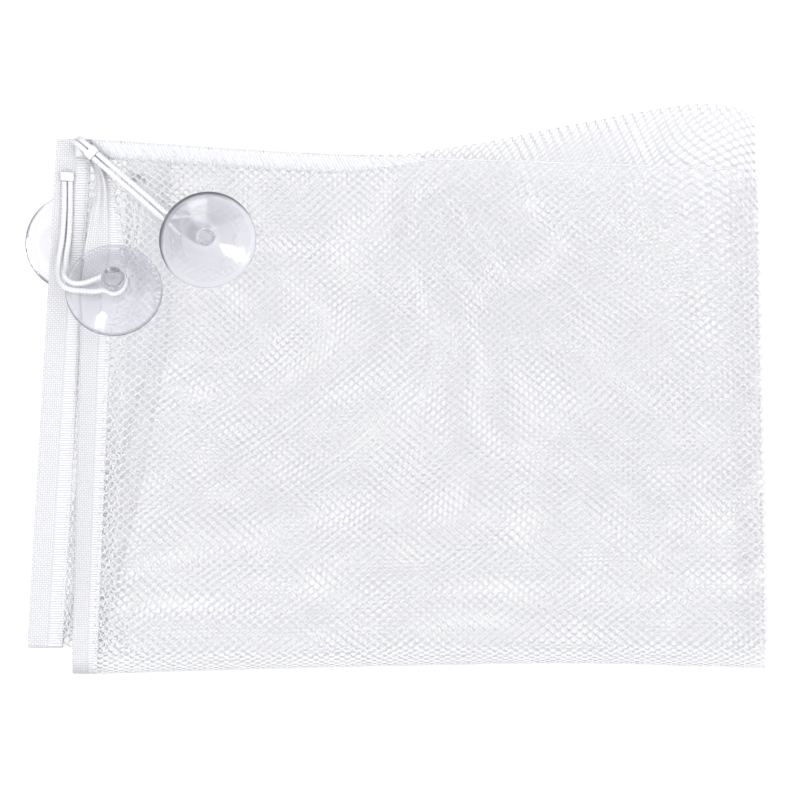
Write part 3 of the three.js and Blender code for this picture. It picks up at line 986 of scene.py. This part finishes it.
@dataclass(frozen=True)
class HemTape:
    """A woven tape along the mouth edge of a panel, from the lower half round the fold to the upper half.

    Attributes:
        layer: The panel that it hems.
        reach: Distance of its middle from the fold's middle plane.
        fold_d: How far inside the fold it turns.
        free: Its free edge on each half.
        sewn: The edge where the net joins it, on each half.
        tops: How far it goes on each half.
        gather: Height of the folds where its upper end is drawn together.
        droop: How far its free edge sinks towards the other tape on the upper half.
        width: Mean width of the tape.
        thickness: How thick it is.
        stitch: Length of a hem stitch.
        stitch_line: Where the stitches run, as a share of the way from the free edge to the sewn edge.
        thread: Radius of the sewing thread.
        spread: Not used.
    """

    layer: Layer
    reach: float
    fold_d: float
    free: dict[Half, Edge]
    sewn: dict[Half, Edge]
    tops: dict[Half, float]
    gather: float = 0.0
    droop: float = 0.0
    width: float = 16.4
    thickness: float = 0.9
    stitch: float = 2.7
    stitch_line: float = 0.9
    thread: float = 0.19
    spread: float = 0.5

    @property
    def bend(self) -> float:
        """Length of the tape round the fold."""
        return math.pi * self.reach

    def half_spot(self, half: Half, d: Array, across: Array, lift: Array) -> Array:
        """Points on a half.

        On the upper half the free edge droops, up to its shoulder. From there on, the tape is drawn together in folds.

        Args:
            half: The half.
            d: Distances away from the fold.
            across: Shares of the way from the free edge to the sewn edge.
            lift: Distances outwards from the tape's middle.

        Returns:
            Points with x, y and z in the last axis.
        """
        free, sewn = self.free[half](d), self.sewn[half](d)
        h = self.reach + lift + Ripple(height=0.2, length=45.0, seed=5)(free, d)
        if half is Half.UPPER:
            sinking = smoothstep(0.0, 35.0, d) * (1.0 - smoothstep(165.0, 205.0, d))
            h = h - self.droop * (1.0 - across) ** 1.5 * sinking
            drawn = smoothstep(176.0, 222.0, d)
            folds = np.cos(2 * math.pi * (across - 0.5) / 0.62)
            h = h + self.gather * drawn * (folds - 0.4 * drawn)
        return FOLD.place(half, free + across * (sewn - free), d, h)

    def spot(self, along: Array, across: Array, lift: Array) -> Array:
        """Points by distance along the tape: below 0 on the lower half, then the fold, then the upper half.

        Args:
            along: Distances from the lower end of the fold.
            across: Shares of the way from the free edge to the sewn edge.
            lift: Distances outwards from the tape's middle.

        Returns:
            Points with x, y and z in the last axis.
        """
        along, across, lift = np.broadcast_arrays(along, across, lift)
        lower = self.half_spot(Half.LOWER, self.fold_d + np.maximum(-along, 0.0), across, lift)
        upper = self.half_spot(Half.UPPER, self.fold_d + np.maximum(along - self.bend, 0.0), across, lift)
        start = np.array(self.fold_d)
        free, sewn = self.free[Half.UPPER](start), self.sewn[Half.UPPER](start)
        turn = np.clip(along / self.bend, 0.0, 1.0)
        round_fold = FOLD.crease(free + across * (sewn - free), turn, self.fold_d, self.reach + lift)
        past = along[..., None] > self.bend
        return np.where(along[..., None] < 0.0, lower, np.where(past, upper, round_fold))

    def runs(self) -> tuple[float, float]:
        """Where the tape starts and ends, as distances along it."""
        return self.fold_d - self.tops[Half.LOWER], self.bend + self.tops[Half.UPPER] - self.fold_d

    def shape(self) -> tuple[Array, Faces, Array, Array]:
        """A thin closed band: a flat oval section carried along the tape.

        Returns:
            Points, faces, cloth coordinates in millimetres, and 1 for the points of the lower half, which get painted
            light.
        """
        first, last = self.runs()
        step, columns = 1.2, 24
        straight = np.concatenate([np.arange(first, 0.0, step), np.arange(self.bend, last, step), [last]])
        along = np.sort(np.concatenate([straight, np.linspace(0.0, self.bend, 15)[:-1]]))
        share = np.linspace(0.0, 1.0, columns)
        swell = self.thickness / 2 * np.sqrt(1.0 - (2 * share - 1.0) ** 8 * 0.8)
        across = np.concatenate([share, share[::-1]])
        lift = np.concatenate([-swell, swell[::-1]])
        points = self.spot(along[:, None], across[None, :], lift[None, :])
        index, walls = band_faces(*points.shape[:2])
        ends = np.stack([index[0, ::-1], index[-1]])
        cloth = np.stack(np.broadcast_arrays(self.width * across[None, :], along[:, None]), axis=-1)
        cloth = cloth.reshape(-1, 2)
        return points.reshape(-1, 3), [walls, ends], cloth, beyond(-cloth[:, 1])

    def stitches(self) -> tuple[Array, Faces]:
        """Short stitches along the sewn edge: each rises out of the tape and dips back into it."""
        first, last = self.runs()
        count = int((last - first - 8.0) / self.stitch)
        starts = first + 3.0 + np.arange(count) * self.stitch
        share = np.linspace(0.0, 1.0, 5)
        along = starts[:, None] + share * self.stitch * 0.86
        lift = self.thickness / 2 + 0.22 * np.sin(math.pi * share) - 0.08
        return Tubes(self.spot(along, np.array(self.stitch_line), lift[None, :]), self.thread, 4).shape()

    def build(self) -> None:
        """Makes the tape and its stitches."""
        layer = self.layer.value
        points, faces, cloth, inside = self.shape()
        # The lower half's points get the finish's second colour: painted light that lifts their shade.
        tape = make_piece(
            f"{layer}_hem_tape", points, faces, TAPE_FINISH.material(), uv=cloth, attributes={"second": inside}
        )
        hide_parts(f"{layer}_tape_lower", f"{layer}_tape_fold", f"{layer}_tape_upper")
        bend_with_fold(tape)
        seam = make_piece(f"{layer}_hem_stitches", *self.stitches(), SEAM_FINISH.material())
        bend_with_fold(seam)


@dataclass(frozen=True)
class Overlock:
    """An overlocked edge: bunched net wrapped by slanting stitches, with a needle line along its inner side.

    Attributes:
        name: Name of the piece.
        node: The solid that it stands for.
        half: The half that it is on.
        first: Where it starts along its edge.
        last: Where it ends.
        width: How far it reaches in from the edge.
        swell: Half of its thickness.
        pitch: Distance between stitches.
        slant: How far a stitch leans on its way to the edge.
        middle: Distance of its middle from the fold's middle plane.
        thread: Radius of the thread.
    """

    name: str
    node: str
    half: Half
    first: float
    last: float
    width: float = 8.6
    swell: float = 1.3
    pitch: float = 1.5
    slant: float = 4.2
    middle: float = 5.0
    thread: float = 0.2

    def spot(self, along: Array, inward: Array, lift: Array) -> Array:
        """Points by distance along the edge, distance in from it and distance outwards; it is narrow at the far end."""
        narrow = 1.0 - 0.94 * smoothstep(-30.0, 30.0, along)
        return FOLD.place(self.half, along, SIDE_SEAM(along) - inward * narrow, self.middle + lift * narrow)

    def bunch(self) -> tuple[Array, Faces]:
        """The bunched net: an oval section with uneven thickness, carried along the edge."""
        along = np.arange(self.first, self.last, 1.1)[:, None]
        turn = np.linspace(0.0, 2 * math.pi, 18, endpoint=False)[None, :]
        inward = self.width / 2 * (1.0 - np.cos(turn))
        uneven = 0.72 + 0.16 * np.sin(along * 1.9 + 3 * np.cos(turn)) * np.sin(along * 0.53 + 1.0)
        lift = self.swell * uneven * np.sin(turn) * (0.75 + 0.25 * np.cos(turn))
        along, inward, lift = np.broadcast_arrays(along, inward, lift)
        points = self.spot(along, inward, lift)
        index, walls = band_faces(*points.shape[:2])
        ends = np.stack([index[0], index[-1, ::-1]])
        return points.reshape(-1, 3), [walls[:, [0, 3, 2, 1]], ends]

    def wraps(self) -> tuple[Array, Faces]:
        """Slanting stitches: each starts at the needle line, runs over the edge and comes back underneath."""
        starts = np.arange(self.first + self.slant, self.last - 0.5, self.pitch)[:, None]
        inward = np.array([0.98, 0.72, 0.42, 0.14, -0.03, 0.14, 0.6]) * self.width
        lift = np.array([0.35, 0.8, 0.98, 0.86, 0.0, -0.86, -0.9]) * self.swell
        jitter = np.random.default_rng(7).normal(0.0, 0.16, (len(starts), 7))
        lean = self.slant * (1.0 - np.array([0.0, 0.27, 0.58, 0.87, 1.0, 0.95, 0.6]))
        along = starts - self.slant + lean + jitter
        return Tubes(self.spot(along, inward[None, :] + 0.6 * jitter, lift[None, :]), self.thread, 4).shape()

    def needle(self) -> tuple[Array, Faces]:
        """The needle line: a row of short stitches along the inner side."""
        pitch, stitch = 2.5, 2.2
        starts = np.arange(self.first + 0.5, self.last - 3.0, pitch)[:, None]
        share = np.linspace(0.0, 1.0, 5)[None, :]
        lift = self.swell * 0.42 + 0.3 * np.sin(math.pi * share)
        line = self.spot(starts + stitch * share, np.array(self.width * 0.94), lift)
        return Tubes(line, self.thread, 4).shape()

    def build(self) -> None:
        """Makes the seam as one piece."""
        shape = joined(self.bunch(), self.wraps(), self.needle())
        piece = make_piece(self.name, *shape, SEAM_FINISH.material())
        attach(piece, "seam", self.half.value, self.node)


@dataclass(frozen=True)
class Allowance:
    """A seam allowance: a strip of net turned to the inside, with strands that run along the seam.

    Attributes:
        name: Name of the piece.
        half: The half that it is on.
        edge: The edge that it runs along, as a distance along the fold.
        level: Distance from the fold's middle plane.
        strands: Number of strands, below 0 if they lie towards the mouth.
        nodes: Solids that it stands for, if any.
        first: Where it starts, away from the fold.
        last: Where it ends.
        cell: Length of a cell along the seam.
        strand: Distance between neighbouring strands.
        thread: Radius of the thread.
        knot: Share of a cell for which neighbouring strands run together.
        swing: How far a strand zigzags, as a share of the distance between strands.
    """

    name: str
    half: Half
    edge: Edge
    level: float
    strands: int
    nodes: tuple[str, ...] = ()
    first: float = 4.0
    last: float = 223.0
    cell: float = 4.9
    strand: float = 2.0
    thread: float = 0.27
    knot: float = 0.3
    swing: float = 0.38

    def build(self) -> None:
        """Makes the strands: each zigzags so that it touches the next one on either side in turn."""
        cells = round((self.last - self.first) / self.cell)
        phase, side = zigzag(cells, self.knot)
        number = np.arange(abs(self.strands))[:, None]
        swing = self.swing * np.where(number % 2 == 0, side, -side)
        inward = 0.5 + self.strand * (number + swing)
        d = self.first + phase / cells * (self.last - self.first)
        lines = FOLD.place(self.half, self.edge(d) + np.sign(self.strands) * inward, d, self.level)
        piece = make_piece(self.name, *Tubes(lines, self.thread, 3).shape(), NET_FINISH.material())
        attach(piece, "seam", self.half.value, *self.nodes)


# Cords and cups


def braid(lines: Array, diameter: float, up: Array) -> tuple[Tubes, Array]:
    """Braided cords: tubes whose radius falls in the valleys between slanting strands.

    Round the cord there are four columns of strands that slant to and fro. The relief is the size of a sine of the
    distance along the cord plus a zigzag of the angle round it.

    Args:
        lines: Centre lines, by cord and step, with even steps.
        diameter: Diameter over the strands.
        up: A direction that no line runs along.

    Returns:
        The tubes, and the relief of each point from 0 in a valley to 1 on a strand.
    """
    sides, columns, pitch = 24, 4.0, 1.9
    step = np.linalg.norm(lines[0, 1] - lines[0, 0])
    along = np.arange(lines.shape[1])[None, :, None] * step
    turn = np.arange(sides)[None, None, :] / sides * columns
    slant = np.abs(turn % 1.0 - 0.5) * 2.0
    strand = np.abs(np.sin(math.pi * (along / pitch + 0.75 * slant)))
    column = np.abs(np.sin(math.pi * turn + math.pi / 4)) ** 0.5
    relief = strand**0.6 * (0.55 + 0.45 * column)
    relief = np.broadcast_to(relief, (lines.shape[0], lines.shape[1], sides))
    return Tubes(lines, diameter / 2 * (0.84 + 0.16 * relief), sides, up), relief


@dataclass(frozen=True)
class CordLoop:
    """A doubled cord: from its tack round a cup's neck and back to the tack.

    Attributes:
        name: Name of the piece.
        node: The solid that it stands for.
        body: The body that it rides on.
        half: The half whose places its route uses.
        route: Places along it, as x, d and h.
        diameter: Diameter of the cord.
    """

    name: str
    node: str
    body: str
    half: Half
    route: tuple[Point, ...]
    diameter: float = CORD_DIAMETER

    def line(self) -> Array:
        """The cord's centre line in even steps."""
        x, d, h = np.array(self.route).T
        return spline(FOLD.place(self.half, x, d, h), BRAID_STEP)

    @staticmethod
    def clear_way(line: Array) -> Array:
        """The direction, out of six, that a line comes least close to running along."""
        along = unit(np.gradient(line, axis=0))
        ways = [[0, 0, 1], [0.5, 0, 0.87], [0, 0.5, 0.87], [-0.5, 0, 0.87], [0, -0.5, 0.87], [1, 0, 0]]
        tries = unit(np.array(ways))
        return tries[np.argmin(np.abs(along @ tries.T).max(axis=0))]

    def build(self) -> None:
        """Makes the cord."""
        line = self.line()
        tube, relief = braid(line[None], self.diameter, self.clear_way(line))
        # A cord on the lower half gets the finish's second colour: painted light that lifts its shade.
        inside = np.full(relief.shape, float(self.half is Half.LOWER))
        values = {"relief": relief, "second": inside}
        piece = make_piece(self.name, *tube.shape(), CORD_FINISH.material(), attributes=values)
        attach(piece, "cord", self.body, self.node)


@dataclass(frozen=True)
class BarTack:
    """A bar tack that sews a cord's two ends down: loops of thread side by side over a padded bar.

    Attributes:
        name: Name of the piece.
        node: The solid that it stands for.
        half: The half that it is sewn to.
        x: Place along the fold.
        d: Place away from the fold.
        towards: The way that the cord leaves it, in degrees from x towards d.
        base: Distance of its underside from the fold's middle plane.
        tails: Places of the cord ends that run on behind it, if they show.
        length: Its length along the cord.
        width: Its width over the two strands.
        height: How thick it is.
        passes: Loops of thread.
        thread: Radius of the thread.
    """

    name: str
    node: str
    half: Half
    x: float
    d: float
    towards: float
    base: float
    tails: tuple[tuple[Point, ...], ...] = ()
    length: float = 4.0
    width: float = 6.6
    height: float = 2.7
    passes: int = 9
    thread: float = 0.3

    def build(self) -> None:
        """Makes the loops of thread, and the cord ends behind them."""
        rise = 1.0 if self.half is Half.UPPER else -1.0
        angle = math.radians(self.towards)
        turn = np.linspace(0.0, 2 * math.pi, 29)[None, :]
        starts = np.linspace(-0.5, 0.5, self.passes)[:, None] * (self.length - 2 * self.thread)
        lean, boxy = 0.18, 0.7
        along = starts + lean * np.cos(turn)
        across = (self.width / 2 - self.thread) * np.sign(np.cos(turn)) * np.abs(np.cos(turn)) ** boxy
        swell = self.height / 2 - self.thread
        lift = self.height / 2 + swell * np.sign(np.sin(turn)) * np.abs(np.sin(turn)) ** boxy
        x = self.x + along * math.cos(angle) - across * math.sin(angle)
        d = self.d + along * math.sin(angle) + across * math.cos(angle)
        lines = FOLD.place(self.half, x, d, self.base + rise * lift)
        spoke = np.array([math.cos(angle), math.sin(angle), 0.0])
        piece = make_piece(self.name, *Tubes(lines, self.thread, 6, spoke).shape(), SEAM_FINISH.material())
        attach(piece, "seam", self.half.value, self.node)
        for number, tail in enumerate(self.tails, 1):
            line = spline(FOLD.place(self.half, *np.array(tail).T), BRAID_STEP)
            tube, relief = braid(line[None], CORD_DIAMETER, UP)
            name, values = f"{self.name}_cord_end_{number}", {"relief": relief}
            end = make_piece(name, *tube.shape(), CORD_FINISH.material(), attributes=values)
            attach(end, "cord", self.half.value)


@dataclass(frozen=True)
class SuctionCup:
    """A clear suction cup with a mushroom knob, turned from one outline.

    Attributes:
        name: Name of the piece.
        node: The solid that it stands for.
        body: The body that it rides on.
        rim: Centre of its rim.
        axis: The way that its knob points.
        dark: The way to the darkest part of its painted rim shade, in degrees from x towards y.
        even: How dark the painted shade on the rest of the rim is, as a share.
        band: How much wider the painted dark band is on the dark side.
        depth: How dark the painted shade gets, as a share.
        haze: How hazy its back is, as a share.
        radius: Radius of the rim.
        segments: Steps round it.
        bead: Radius of the rim's round edge.
        hollow: Radius and depth of the hollow.
        hollow_curve: Over 1 rounds the crown of the hollow.
        cone: Run and rise of the cone.
        cone_curve: Over 1 hollows the cone's outside.
    """

    name: str
    node: str
    body: str
    rim: Point
    axis: Point
    dark: float
    even: float
    band: float
    depth: float = 1.0
    haze: float = 0.0
    radius: float = 22.5
    segments: int = 120
    bead: float = 0.45
    hollow: tuple[float, float] = (20.9, 5.9)
    hollow_curve: float = 1.4
    cone: tuple[float, float] = (18.55, 8.6)
    cone_curve: float = 1.55

    def outline(self) -> Array:
        """Half section, from the middle of the hollow over the rim, up the cone and the neck, to the knob's top."""
        share = np.linspace(0.0, 1.0, 28)
        hollow = np.stack([self.hollow[0] * share, self.hollow[1] * (1.0 - share**self.hollow_curve)], axis=1)
        turn = np.linspace(-math.pi / 2, math.pi / 2, 9)
        middle = self.radius - self.bead
        rim = np.stack([middle + self.bead * np.cos(turn), self.bead + self.bead * np.sin(turn)], axis=1)
        share = np.linspace(0.03, 0.96, 26)
        rise = 2 * self.bead + self.cone[1] * share**self.cone_curve
        cone = np.stack([middle - self.cone[0] * share, rise], axis=1)
        knob = spline(
            np.array([
                [4.0, 9.45], [3.62, 10.3], [3.5, 11.6], [3.6, 12.9], [4.3, 13.75], [5.2, 14.2], [5.6, 15.1],
                [5.52, 17.0], [4.95, 18.7], [3.7, 19.7], [2.2, 20.0], [1.2, 19.8], [0.0, 19.65],
            ]),
            0.35,
        )
        return np.vstack([hollow, rim, cone, knob])

    def painted_edge_shade(self, points: Array, distance: Array, height: Array) -> Array:
        """Painted shade on the plastic: a dark band along the rim that is widest on the dark side, and one round the
        knob.

        Args:
            points: Points of the cup.
            distance: Their distances from its axis.
            height: Their heights over the rim.

        Returns:
            Shares from 0 where it is clear to 1 in the band.
        """
        angle = math.radians(self.dark)
        way = (points[:, :2] - np.array(self.rim[:2])) @ np.array([math.cos(angle), math.sin(angle)]) / self.radius
        side = self.even + (1.0 - self.even) * smoothstep(-0.75, 0.6, way)
        wide = smoothstep(-0.2, 0.9, way)
        line = smoothstep(0.0, 0.4, distance - self.radius + 0.5 + 0.9 * wide)
        band = smoothstep(0.0, 0.5, distance - self.radius + 0.5 + self.band * wide)
        rim = self.depth * side * (0.6 * line + 0.4 * band)
        knob = 0.35 * smoothstep(10.0, 13.0, height) + 0.4 * np.exp(-(((height - 14.4) / 1.1) ** 2))
        return np.maximum(rim, knob)

    def build(self) -> None:
        """Turns the outline about the axis and closes it at both poles."""
        outline = self.outline()
        ring = outline[1:-1]
        turn = np.arange(self.segments) / self.segments * 2 * math.pi
        spun = np.broadcast_arrays(ring[:, :1] * np.cos(turn), ring[:, :1] * np.sin(turn), ring[:, 1:])
        flat = np.stack(spun, axis=-1).reshape(-1, 3)
        flat = np.vstack([flat, [0.0, 0.0, outline[0, 1]], [0.0, 0.0, outline[-1, 1]]])
        index, walls = band_faces(len(ring), self.segments)
        low, high = np.full(self.segments, len(flat) - 2), np.full(self.segments, len(flat) - 1)
        bottom = np.stack([low, np.roll(index[0], -1), index[0]], axis=-1)
        top = np.stack([high, index[-1], np.roll(index[-1], -1)], axis=-1)
        knob = unit(np.array(self.axis))
        side = unit(np.cross([0.0, 1.0, 0.0], knob))
        points = np.array(self.rim) + flat @ np.stack([side, np.cross(knob, side), knob])
        distance = np.hypot(flat[:, 0], flat[:, 1])
        wall_middle = 0.8 + 6.2 * (1.0 - np.clip(distance / self.hollow[0], 0.0, 1.0) ** self.hollow_curve)
        back = flat[:, 2] > wall_middle
        # The edge attribute carries the painted shade at the rim and round the knob.
        piece = make_piece(
            self.name,
            points,
            [walls, np.vstack([bottom, top])],
            CUP_FINISH.material(),
            attributes={"edge": self.painted_edge_shade(points, distance, flat[:, 2]), "haze": self.haze * back},
        )
        attach(piece, "cup", self.body, self.node)


# Studio


def facing(away: Array) -> tuple[float, float, float, float]:
    """The turn that points a light's face back along a direction: half of the turn from +Z to that direction."""
    x, y, z = unit(away)
    half = unit(np.array([1.0 + z, -y, x, 0.0]))
    return tuple(float(part) for part in half)


@dataclass(frozen=True)
class Studio:
    """Pale floor, soft light from above and a long lens that looks straight down.

    Attributes:
        frame_width: Width of the picture at the bag.
        centre: Middle of the picture, along x and y.
        distance: Distance of the camera from the bag.
        sensor: Width of the camera's sensor.
        focus_height: Height at which the picture has its width.
    """

    frame_width: float = 371.2
    centre: tuple[float, float] = (1.9, -4.2)
    distance: float = 5000.0
    sensor: float = 36.0
    focus_height: float = 20.0

    def build(self) -> None:
        """Makes the floor, the lights, the surroundings and the camera."""
        self.floor()
        self.lights()
        self.surroundings()
        self.camera()

    def floor(self) -> None:
        """A wide square just under the bag."""
        reach, low = 12000.0, -0.3
        corners = np.array([[-reach, -reach, low], [reach, -reach, low], [reach, reach, low], [-reach, reach, low]])
        make_piece("floor", corners, [np.array([[0, 1, 2, 3]])], FLOOR_FINISH.material())

    def light(self, name: str, place: Point, size: float, power: float) -> None:
        """A square soft light that faces the bag and that the camera doesn't see."""
        data = bpy.data.lights.new(name, "AREA")
        data.size = size
        data.energy = power
        lamp = bpy.data.objects.new(name, data)
        bpy.context.scene.collection.objects.link(lamp)
        lamp.location = place
        lamp.rotation_mode = "QUATERNION"
        lamp.rotation_quaternion = facing(np.array(place))
        lamp.visible_camera = False

    def lights(self) -> None:
        """A large light overhead, a small bright one left of it and a weak one in front."""
        self.light("overhead", (0.0, 0.2, 2.2), size=4.6, power=105.0)
        self.light("key", (-0.8, -0.05, 2.2), size=0.42, power=13.5)
        self.light("front", (0.7, -1.7, 1.3), size=0.7, power=6.0)

    def surroundings(self) -> None:
        """A room that is pale above and dark near the horizon."""
        world = bpy.data.worlds.new("room")
        world.use_nodes = True
        graph = Graph(world.node_tree)
        way = graph.node("ShaderNodeSeparateXYZ", {0: graph.node("ShaderNodeTexCoord").outputs["Generated"]})
        pale = graph.ranged(way.outputs[2], 0.1, 0.7, 0.215, 0.84)
        back = graph.node("ShaderNodeBackground", {"Color": (0.94, 0.95, 1.0, 1.0), "Strength": pale})
        graph.node("ShaderNodeOutputWorld", {"Surface": back.outputs[0]})
        bpy.context.scene.world = world
        bpy.context.scene.view_settings.view_transform = "Standard"

    def camera(self) -> None:
        """A camera straight over the picture's middle, whose view is the frame's width at the bag's height."""
        data = bpy.data.cameras.new("camera")
        data.sensor_width = self.sensor
        data.lens = self.sensor * self.distance / self.frame_width
        data.clip_end = 100.0
        camera = bpy.data.objects.new("camera", data)
        bpy.context.scene.collection.objects.link(camera)
        camera.location = (self.centre[0] * MM, self.centre[1] * MM, (self.distance + self.focus_height) * MM)
        bpy.context.scene.camera = camera


# The organizer


OUTER_FREE = {
    Half.UPPER: Edge((0.0, 150.0, 185.0, 224.0, 240.0), (-150.3, -146.6, -145.2, -137.4, -149.0), ease=9.0),
    Half.LOWER: Edge((0.0, 150.0, 231.0), (-150.3, -121.0, -121.0)),
}
OUTER_SEWN = {
    Half.UPPER: Edge((0.0, 150.0, 185.0, 224.0, 240.0), (-138.6, -132.3, -124.6, -131.6, -141.5), ease=9.0),
    Half.LOWER: Edge((0.0, 60.0, 150.0, 231.0), (-138.6, -122.2, -104.6, -104.6)),
}
INNER_FREE = {
    Half.UPPER: Edge((5.0, 240.0), (-171.2, -157.2)),
    Half.LOWER: Edge((5.0, 150.0, 231.0), (-171.2, -125.6, -125.6)),
}
INNER_SEWN = {
    Half.UPPER: Edge((5.0, 240.0), (-154.8, -140.8)),
    Half.LOWER: Edge((5.0, 150.0, 231.0), (-154.8, -109.2, -109.2)),
}
FIRST_ROUTE = (
    (-140.2, 231.3, 10.9), (-135.9, 227.5, 10.9), (-126.8, 219.7, 10.9), (-116.2, 210.5, 11.1), (-107.2, 202.5, 12.4),
    (-99.0, 195.8, 15.2), (-91.4, 191.0, 17.7), (-87.4, 190.0, 17.1), (-83.8, 192.2, 16.9), (-82.9, 196.2, 17.3),
    (-85.1, 199.7, 18.0), (-94.4, 203.4, 15.6), (-104.9, 205.2, 12.4), (-114.4, 212.8, 11.1), (-125.0, 221.9, 10.9),
    (-134.1, 229.7, 10.9), (-138.4, 233.4, 10.9),
)
SECOND_ROUTE = (
    (-153.7, 220.1, 3.5), (-153.7, 214.0, 3.5), (-153.9, 205.0, 3.5), (-154.8, 193.0, 4.6), (-156.3, 183.0, 9.0),
    (-156.0, 176.0, 15.5), (-153.5, 172.0, 20.5), (-150.0, 170.6, 22.4), (-145.0, 170.2, 24.4), (-139.0, 170.0, 27.8),
    (-134.2, 170.7, 29.9), (-130.4, 169.2, 30.5), (-126.6, 170.7, 29.9), (-125.0, 174.2, 28.4), (-126.6, 177.7, 26.9),
    (-130.4, 179.2, 26.3), (-134.2, 177.7, 26.9), (-139.0, 175.5, 25.4), (-145.0, 173.6, 23.2), (-150.0, 173.9, 21.2),
    (-153.2, 176.6, 18.2), (-153.0, 180.5, 12.5), (-152.6, 186.0, 7.5), (-151.6, 194.0, 4.4), (-151.0, 205.0, 3.5),
    (-150.9, 214.0, 3.5), (-150.9, 220.1, 3.5),
)
THIRD_ROUTE = (
    (-120.9, 219.1, -0.7), (-121.0, 211.4, -0.7), (-122.0, 200.4, -0.7), (-124.6, 189.9, -0.9), (-129.4, 182.2, -1.4),
    (-135.6, 180.4, -1.9), (-140.4, 184.6, -2.2), (-143.2, 189.8, -2.3), (-145.8, 194.6, -2.3), (-149.3, 196.8, -2.3),
    (-153.3, 195.7, -2.3), (-155.5, 192.2, -2.3), (-154.4, 188.2, -2.3), (-150.6, 182.6, -2.3), (-145.5, 178.2, -2.0),
    (-138.5, 175.3, -1.6), (-130.8, 175.8, -1.3), (-124.6, 181.0, -1.0), (-120.9, 189.4, -0.8), (-118.8, 200.4, -0.7),
    (-118.1, 211.4, -0.7), (-118.1, 219.1, -0.7),
)
CORD_ENDS = (
    ((-141.6, 232.5, 10.9), (-144.6, 235.2, 10.8), (-147.6, 237.6, 9.6), (-149.6, 238.8, 6.6)),
    ((-139.8, 234.6, 10.9), (-142.8, 237.3, 10.8), (-145.4, 239.2, 9.4), (-146.8, 239.9, 6.4)),
)


def build_bag() -> None:
    """Makes the nets, the tapes and the seams."""
    NetPanel(Layer.OUTER, reach=9.0, fold_d=0.0, hems=OUTER_SEWN, seed=3).build()
    # The inner panel takes half of the net's painted shade all over.
    NetPanel(
        Layer.INNER, reach=1.2, fold_d=5.0, hems=INNER_SEWN, seed=11, nest=10.0, shared=3, shade=0.5
    ).build()
    ends = {Half.UPPER: 239.6, Half.LOWER: 230.6}
    HemTape(
        Layer.OUTER, reach=8.45, fold_d=0.0, free=OUTER_FREE, sewn=OUTER_SEWN, tops=ends,
        gather=1.6, droop=4.4, width=15.4, spread=0.75,
    ).build()
    HemTape(Layer.INNER, reach=1.4, fold_d=5.0, free=INNER_FREE, sewn=INNER_SEWN, tops=ends).build()
    Overlock("side_overlock", "side_seam", Half.UPPER, first=-148.5, last=164.0).build()
    for half in Half:
        suffix = half.name.lower()
        nodes = (f"bottom_seam_{suffix}",)
        Allowance(f"end_allowance_{suffix}", half, CLOSED_END, level=5.0, strands=-7, nodes=nodes).build()
    upper = Half.UPPER
    Allowance("outer_hem_allowance", upper, OUTER_SEWN[upper], level=7.6, strands=6, strand=1.3).build()
    Allowance("inner_hem_allowance", upper, INNER_SEWN[upper], level=1.9, strands=5, first=9.0, strand=1.3).build()


def build_fittings() -> None:
    """Makes the cups, the cords and the tacks that hold them."""
    SuctionCup(
        "cup_1", "suction_cup_1", "first_cup", rim=(-86.8, 69.615, 49.322), axis=(-0.12063, 0.17824, -0.97657),
        dark=125.0, even=0.35, band=2.3, haze=1.0,
    ).build()
    SuctionCup(
        "cup_2", "suction_cup_2", "second_cup", rim=(-130.4, 46.344, 37.1), axis=(0.0, 0.34014, 0.94037),
        dark=-80.0, even=0.4, band=0.1, depth=0.65,
    ).build()
    SuctionCup(
        "cup_3", "suction_cup_3", "third_cup", rim=(-150.1, 69.0, 0.0), axis=(0.0, 0.0, 1.0),
        dark=215.0, even=0.3, band=0.9, depth=0.8,
    ).build()
    CordLoop("braid_1", "cord_1", "first_cord", Half.UPPER, FIRST_ROUTE).build()
    CordLoop("braid_2", "cord_2", "second_cord", Half.UPPER, SECOND_ROUTE).build()
    CordLoop("braid_3", "cord_3", "third_cord", Half.LOWER, THIRD_ROUTE).build()
    BarTack(
        "bar_tack_1", "cord_tack_1", Half.UPPER, x=-141.0, d=233.8, towards=-40.8, base=9.7, tails=CORD_ENDS
    ).build()
    BarTack("bar_tack_2", "cord_tack_2", Half.UPPER, x=-152.3, d=222.4, towards=-90.0, base=2.3).build()
    BarTack("bar_tack_3", "cord_tack_3", Half.LOWER, x=-119.5, d=221.4, towards=-90.0, base=0.5).build()


def main() -> None:
    """Builds the organizer's pieces in order, then the studio."""
    logging.basicConfig(level=logging.INFO, format="%(message)s")
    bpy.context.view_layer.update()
    build_fittings()
    build_bag()
    Studio().build()


if __name__ == "__main__":
    main()
